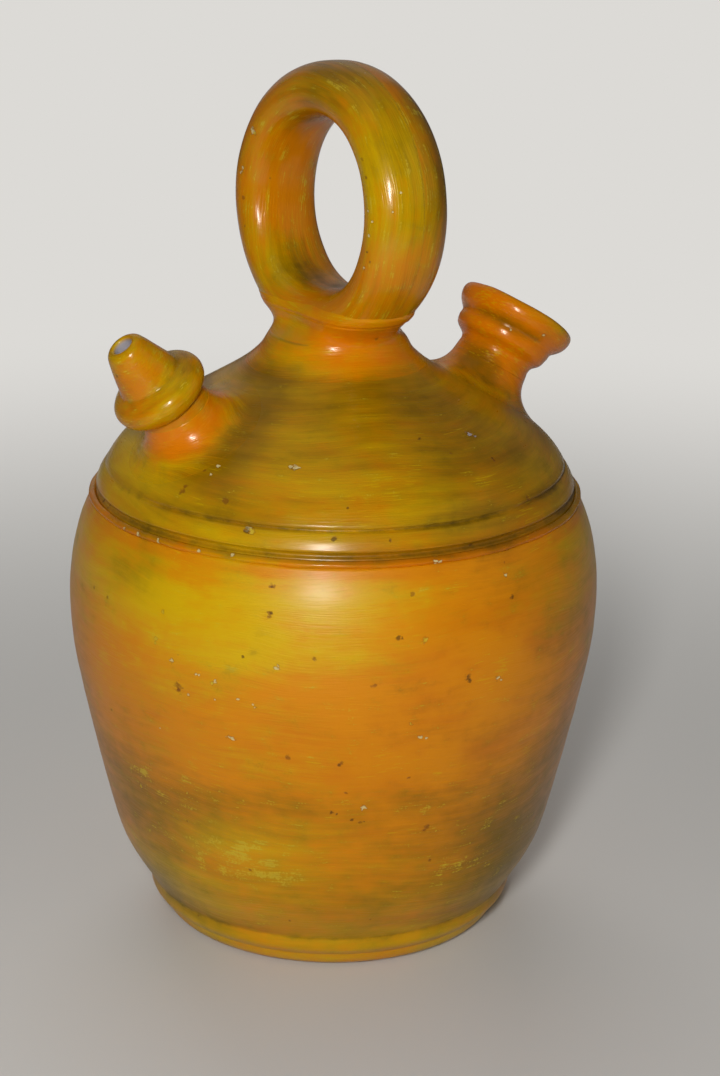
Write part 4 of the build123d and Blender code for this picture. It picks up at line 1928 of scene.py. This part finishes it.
@dataclass(frozen=True)
class WashFinish:
    """Fired clay with a brushed orange ground, yellow and olive washes over it, and wax.

    Attributes:
        ground: the orange ground wash.
        warm: the same where it was laid on thicker.
        yellow: the yellow wash.
        olive: the smoky olive wash.
        grime: painted shade in grooves, creases and the ring's hole, and dirt in pits.
        rust: iron specks and worn edges of chips.
        pale: the yellow-white that shows where the surface is scuffed.
        chalk: bare clay in a chip.
        dust: lavender-grey bare clay in bores.
        wax: tint of the old wax in its reflections.
        roughness: of the wax, where it is polished.
        gloss: how much polished wax lies on top.
        polish: roughness of that wax.
        ior: of the thin wax, lower than fresh wax has, so that the jug's edges don't whiten.
        streak: how strongly the single brush strokes show.
        sway: how far strokes wander from level.
        bump: height of the brush ridges.
    """

    ground: str = "#C97C00"
    warm: str = "#BE6600"
    yellow: str = "#C6A200"
    olive: str = "#6E4E00"
    grime: str = "#3A2806"
    rust: str = "#6E3A08"
    pale: str = "#C2A628"
    chalk: str = "#CDBD84"
    dust: str = "#A19B9F"
    wax: str = "#FFE9CC"
    roughness: float = 0.32
    gloss: float = 0.12
    polish: float = 0.14
    ior: float = 1.30
    streak: float = 1.0
    sway: float = 22.0 * MM
    bump: float = 0.06 * MM


class WashedClay:
    """Makes the one kind of material that the jug has, with the washes set by its attributes."""

    def __init__(self, finish: WashFinish) -> None:
        """Keeps the finish."""
        self.finish = finish
        self.tree: bpy.types.NodeTree | None = None
        self.signals: dict = {}

    def draw_noises(self, source: bpy.types.NodeSocket, brushed: bool) -> None:
        """Adds noises to the signals, each with cells of its real size.

        Args:
            source: the places, or the strokes, that they are drawn over.
            brushed: whether they are the noises that run along the brush strokes.
        """
        for name, noise in NOISES.items():
            if noise.brushed is not brushed:
                continue
            shares = tuple(1 / (length * MM) for length in noise.cell)
            moved = add_node(
                self.tree, "ShaderNodeMapping",
                {"Vector": source, "Scale": shares, "Location": (noise.offset,) * 3},
            ).outputs["Vector"]
            self.signals[name] = add_node(
                self.tree, "ShaderNodeTexNoise", {"Vector": moved, "Scale": 1.0, "Detail": noise.detail}
            ).outputs["Fac"]

    def gather(self) -> bpy.types.NodeSocket:
        """Fills signals with the wash amounts, the noises and the pits.

        Returns:
            The place on the piece.
        """
        tree = self.tree
        place = add_node(tree, "ShaderNodeTexCoord").outputs["Object"]
        grain = add_node(tree, "ShaderNodeAttribute", attribute_name="grain").outputs["Vector"]
        wash = add_node(tree, "ShaderNodeAttribute", attribute_name="wash").outputs
        amounts = add_node(tree, "ShaderNodeSeparateColor", {"Color": wash["Color"]}).outputs
        pits = add_node(tree, "ShaderNodeTexVoronoi", {"Vector": place, "Scale": 1 / PIT_SPACING}).outputs
        self.signals = {
            # The blue channel is the amount of painted shade in grooves and creases
            "yellow": amounts["Red"], "olive": amounts["Green"], "grime": amounts["Blue"],
            "scuff": wash["Alpha"], "pit_reach": pits["Distance"], "pit_tone": pits["Color"],
            "bare": add_node(tree, "ShaderNodeAttribute", attribute_name="bare").outputs["Fac"],
        }
        self.draw_noises(place, brushed=False)
        wander = self.weigh({"sway": self.finish.sway})
        lift = add_node(tree, "ShaderNodeCombineXYZ", {"Z": wander}).outputs["Vector"]
        strokes = add_node(tree, "ShaderNodeVectorMath", {0: grain, 1: lift}, operation="ADD").outputs[0]
        self.draw_noises(strokes, brushed=True)
        return place

    def weigh(self, terms: dict, start: float = 0.0) -> bpy.types.NodeSocket:
        """Adds up weighted signals.

        Args:
            terms: weight of each signal. Noises are counted from their middle.
            start: what the sum starts from.

        Returns:
            The sum.
        """
        total = start - 0.5 * sum(weight for name, weight in terms.items() if name in NOISES)
        for name, weight in terms.items():
            total = add_node(
                self.tree, "ShaderNodeMath", {0: self.signals[name], 1: weight, 2: total},
                operation="MULTIPLY_ADD",
            ).outputs[0]
        return total

    def lay(self, layer: Layer, below: object) -> bpy.types.NodeSocket:
        """Lays a coat, and keeps its cover as a signal.

        Args:
            layer: the coat.
            below: the colour that it lies on, fixed or from a node.

        Returns:
            The colour with the coat over it.
        """
        streak = self.finish.streak
        terms = {
            name: weight * (streak if name in STREAKY else 1.0) for name, weight in layer.terms.items()
        }
        cover = add_node(
            self.tree, "ShaderNodeMapRange",
            {
                "Value": self.weigh(terms), "From Min": layer.low, "From Max": layer.high,
                "To Max": layer.cover,
            },
            interpolation_type="SMOOTHSTEP",
        ).outputs["Result"]
        self.signals[layer.name] = cover
        above = linear(getattr(self.finish, layer.colour))
        return add_node(
            self.tree, "ShaderNodeMix", {MIX_COVER: cover, MIX_BELOW: below, MIX_ABOVE: above},
            data_type="RGBA",
        ).outputs[MIXED]

    def make(self, name: str, chips: list[Chip]) -> bpy.types.Material:
        """Builds the material.

        Args:
            name: its name.
            chips: chips on the pieces that have it.

        Returns:
            The material.
        """
        finish = self.finish
        material = bpy.data.materials.new(name)
        material.use_nodes = True
        tree = self.tree = material.node_tree
        tree.nodes.clear()
        place = self.gather()
        colour = linear(finish.ground)
        for layer in LAYERS:
            colour = self.lay(layer, colour)
        hollow = self.signals["pit"]
        for chip in chips:
            self.signals["reach"] = add_node(
                tree, "ShaderNodeVectorMath", {0: place, 1: chip.where}, operation="DISTANCE"
            ).outputs["Value"]
            for layer in chip.layers():
                colour = self.lay(layer, colour)
            hollow = add_node(
                tree, "ShaderNodeMath", {0: hollow, 1: self.signals["chip"]}, operation="MAXIMUM"
            ).outputs[0]
        self.signals["hollow"] = hollow
        dusty = {MIX_COVER: self.signals["bare"], MIX_BELOW: colour, MIX_ABOVE: linear(finish.dust)}
        colour = add_node(tree, "ShaderNodeMix", dusty, data_type="RGBA").outputs[MIXED]
        bump = add_node(
            tree, "ShaderNodeBump",
            {"Height": self.weigh(RELIEF), "Distance": finish.bump, "Strength": 1.0},
        )
        shader = add_node(
            tree, "ShaderNodeBsdfPrincipled",
            {
                "Base Color": colour, "Roughness": self.weigh(DULLNESS, finish.roughness),
                "Normal": bump.outputs["Normal"], "IOR": finish.ior, "Specular Tint": linear(finish.wax),
                "Coat Weight": finish.gloss, "Coat Roughness": finish.polish,
            },
        )
        add_node(tree, "ShaderNodeOutputMaterial", {"Surface": shader.outputs["BSDF"]})
        return material


# Studio


@dataclass(frozen=True)
class Lamp:
    """A soft flat lamp that looks at the jug, and shows in its wax if it is mirrored."""

    name: str
    place: tuple
    width: float
    height: float
    power: float
    mirrored: bool = True

    def make(self, target: tuple) -> bpy.types.Object:
        """Adds the lamp.

        Args:
            target: point that it looks at.

        Returns:
            The lamp.
        """
        data = bpy.data.lights.new(self.name, "AREA")
        data.shape = "RECTANGLE"
        data.size, data.size_y = self.width, self.height
        data.energy = self.power
        lamp = bpy.data.objects.new(self.name, data)
        lamp.visible_glossy = self.mirrored
        lamp.location = self.place
        away = Vector(self.place) - Vector(target)
        lamp.rotation_euler = away.to_track_quat("Z", "Y").to_euler()
        bpy.context.scene.collection.objects.link(lamp)
        return lamp


@dataclass(frozen=True)
class Studio:
    """Pale floor, soft lamps and an even pale world.

    Attributes:
        world_colour: colour of the world, and of the floor far from the jug.
        clear_from: distance from the jug up to which the floor shows its paint and shadows.
        clear_to: distance from which it can't be told from the world.
    """

    floor_half: float = 8.0
    floor_colour: str = "#D0CECA"
    floor_roughness: float = 0.9
    floor_sheen: float = 0.1
    world_colour: str = "#DCDAD6"
    world_strength: float = 0.12
    clear_from: float = 0.20
    clear_to: float = 0.95
    lamps: tuple = (
        Lamp("key", (-0.61, -0.78, 0.55), 0.10, 0.24, 8.6),
        Lamp("fill", (1.0, -1.1, 0.9), 1.2, 1.2, 0.7),
        Lamp("top", (-0.3, 0.3, 1.7), 1.4, 1.4, 0.9),
        Lamp("sheen", (0.6, 1.2, 0.8), 1.2, 1.2, 0.9),
        Lamp("back", (0.5, 1.2, 1.0), 1.2, 1.2, 8.5, mirrored=False),
    )

    def floor(self) -> bpy.types.Object:
        """Adds the floor that the jug stands on.

        Returns:
            The floor.
        """
        half = self.floor_half
        mesh = bpy.data.meshes.new("floor")
        corners = [(-half, -half, 0.0), (half, -half, 0.0), (half, half, 0.0), (-half, half, 0.0)]
        mesh.from_pydata(corners, [], [(0, 1, 2, 3)])
        floor = bpy.data.objects.new("floor", mesh)
        bpy.context.scene.collection.objects.link(floor)
        material = bpy.data.materials.new("pale floor")
        material.use_nodes = True
        tree = material.node_tree
        tree.nodes.clear()
        paint = add_node(
            tree, "ShaderNodeBsdfPrincipled",
            {
                "Base Color": linear(self.floor_colour), "Roughness": self.floor_roughness,
                "Specular IOR Level": self.floor_sheen,
            },
        )
        even = add_node(tree, "ShaderNodeEmission", {"Color": linear(self.world_colour), "Strength": 1.0})
        place = add_node(tree, "ShaderNodeTexCoord").outputs["Object"]
        reach = add_node(tree, "ShaderNodeVectorMath", {0: place}, operation="LENGTH").outputs["Value"]
        far = add_node(
            tree, "ShaderNodeMapRange",
            {"Value": reach, "From Min": self.clear_from, "From Max": self.clear_to},
            interpolation_type="SMOOTHSTEP",
        ).outputs["Result"]
        seen = add_node(tree, "ShaderNodeLightPath").outputs["Is Camera Ray"]
        share = add_node(tree, "ShaderNodeMath", {0: far, 1: seen}, operation="MULTIPLY").outputs[0]
        surface = add_node(
            tree, "ShaderNodeMixShader", {0: share, 1: paint.outputs["BSDF"], 2: even.outputs["Emission"]}
        )
        add_node(tree, "ShaderNodeOutputMaterial", {"Surface": surface.outputs["Shader"]})
        mesh.materials.append(material)
        return floor

    def world(self) -> None:
        """Even light from all round; the camera sees it at full strength."""
        world = bpy.data.worlds.new("studio")
        world.use_nodes = True
        tree = world.node_tree
        tree.nodes.clear()
        seen = add_node(tree, "ShaderNodeLightPath").outputs["Is Camera Ray"]
        strength = add_node(
            tree, "ShaderNodeMapRange",
            {"Value": seen, "To Min": self.world_strength, "To Max": 1.0},
        ).outputs["Result"]
        light = {"Color": linear(self.world_colour), "Strength": strength}
        sky = add_node(tree, "ShaderNodeBackground", light)
        add_node(tree, "ShaderNodeOutputWorld", {"Surface": sky.outputs["Background"]})
        bpy.context.scene.world = world

    def make(self, target: tuple) -> bpy.types.Object:
        """Sets the studio up.

        Args:
            target: point that its lamps look at.

        Returns:
            The floor.
        """
        self.world()
        for lamp in self.lamps:
            lamp.make(target)
        bpy.context.scene.view_settings.view_transform = "Standard"
        return self.floor()


# Name and finish by material slot of the record
FINISHES = {
    # The belly: dull wax that spreads the lamp into a broad soft highlight, over brown smoke
    "amber_wash": (
        "brushed amber earthenware",
        WashFinish(olive="#685200", roughness=0.42, gloss=0.22, polish=0.30),
    ),
    # The shoulder: a deeper ground, so that its washes look green-brown, and a closer highlight
    "olive_wash": (
        "brushed olive earthenware",
        WashFinish(ground="#B87000", warm="#A86400", gloss=0.28, polish=0.24),
    ),
    # Bead, collar, mouth and luting: the clearest orange, handled smooth, with small bright highlights
    "orange_wash": (
        "brushed orange earthenware",
        WashFinish(ground="#CC7000", warm="#C06000", roughness=0.25, gloss=0.16),
    ),
    # Ring and spout: ochre with single brush strokes that stand out, polished by hands
    "ochre_wash": (
        "brushed ochre earthenware",
        WashFinish(
            ground="#BF7200", warm="#B26000", yellow="#B89600", roughness=0.25, gloss=0.24, streak=1.9
        ),
    ),
}


@dataclass
class Botijo:
    """The whole jug: its forms, finishes and pieces.

    Attributes:
        view: where the picture was taken from.
        form: main sizes, read from the CAD frame.
        hole_ends: distances from the dome's surface that the holes in it are cut between.
        hole_columns: points once round a hole.
        hole_centre: radius at which the cutting piece is closed by a fan.
    """

    view: Viewpoint
    form: JugForm = field(default_factory=JugForm.from_frame)
    hole_ends: tuple = (-22.0 * MM, 3.0 * MM)
    hole_columns: int = 48
    hole_centre: float = 1.0 * MM

    def finish(self, pieces: dict) -> None:
        """Gives each piece the material of its slot, with the chips of every piece in that slot.

        Args:
            pieces: (object, node) pairs by slot.
        """
        for slot, (name, finish) in FINISHES.items():
            chips = [chip for made, node in pieces[slot] for chip in Chip.on_piece(made, node, self.view)]
            material = WashedClay(finish).make(name, chips)
            for made, _ in pieces[slot]:
                made.data.materials.append(material)

    def spout_neck(self) -> SlantedNeck:
        """Neck of the drinking spout."""
        return SlantedNeck(
            self.form, side=-1, elevation=51.3, drop=44.9 * MM, root_radius=16.4 * MM, root=-11.5 * MM,
            top_radius=12.7 * MM, top=14.1 * MM, rise=11.0 * MM, spread=13.5 * MM,
        )

    def mouth_neck(self) -> SlantedNeck:
        """Neck of the filling mouth."""
        return SlantedNeck(
            self.form, side=1, elevation=54.8, drop=59.9 * MM, root_radius=18.6 * MM, root=-19.8 * MM,
            top_radius=14.6 * MM, top=13.7 * MM, rise=10.5 * MM, spread=12.0 * MM,
        )

    def pierce(self, dome: bpy.types.Object, neck: SlantedNeck, radius: float) -> None:
        """Cuts the hole that a slanted neck's bore has in the dome.

        Args:
            dome: the dome's object.
            neck: the neck that stands over the hole.
            radius: radius of the hole.
        """
        low, high = self.hole_ends
        ends = np.array([(self.hole_centre, low), (radius, low), (radius, high), (self.hole_centre, high)])
        points = neck.axis.revolve(ends[:, 0], ends[:, 1], full_turn(self.hole_columns))
        grid = np.zeros(points.shape[:2])
        wash = np.zeros(points.shape[:2] + (len(Coat),))
        drill = Shell(points, points, wash, grid + 1.0, Ends.POLES).to_object("drill")
        cut = dome.modifiers.new("hole", "BOOLEAN")
        cut.operation, cut.solver, cut.object = "DIFFERENCE", "EXACT", drill
        with bpy.context.temp_override(object=dome, active_object=dome, selected_objects=[dome]):
            bpy.context.view_layer.objects.active = dome
            bpy.ops.object.modifier_apply(modifier=cut.name)
        bpy.data.objects.remove(drill, do_unlink=True)

    def make(self) -> None:
        """Builds every piece and finishes it."""
        form = self.form
        spout, mouth = self.spout_neck(), self.mouth_neck()
        ring = RingHandle(form)
        makers = (
            BellyPot(form), ShoulderDome(form), SeamBead(form), ring, HandleSeam(form, ring),
            DrinkingSpout(form, spout), FillingMouth(form, mouth),
            Luting(form, spout, SPOUT_WASHES, "spout_luting", "spout_seam"),
            Luting(form, mouth, MOUTH_WASHES, "mouth_luting", "mouth_seam"),
        )
        pieces = {slot: [] for slot in FINISHES}
        for maker in makers:
            made = maker.make()
            if maker.node == ShoulderDome.node:
                self.pierce(made, spout, DrinkingSpout.throat)
                self.pierce(made, mouth, FillingMouth.throat)
            pieces[maker.slot].append((made, maker.node))
        self.finish(pieces)


def corners(box: tuple) -> list:
    """A box as two plain lists of numbers."""
    return [[float(number) for number in corner] for corner in box]


def main() -> None:
    """Builds the jug and its studio."""
    logging.basicConfig(level=logging.INFO)
    view = Viewpoint()
    jug = Botijo(view)
    jug.make()
    studio = Studio()
    studio.make((0.0, 0.0, 0.5 * jug.form.neck_top))
    view.make()


if __name__ == "__main__":
    main()
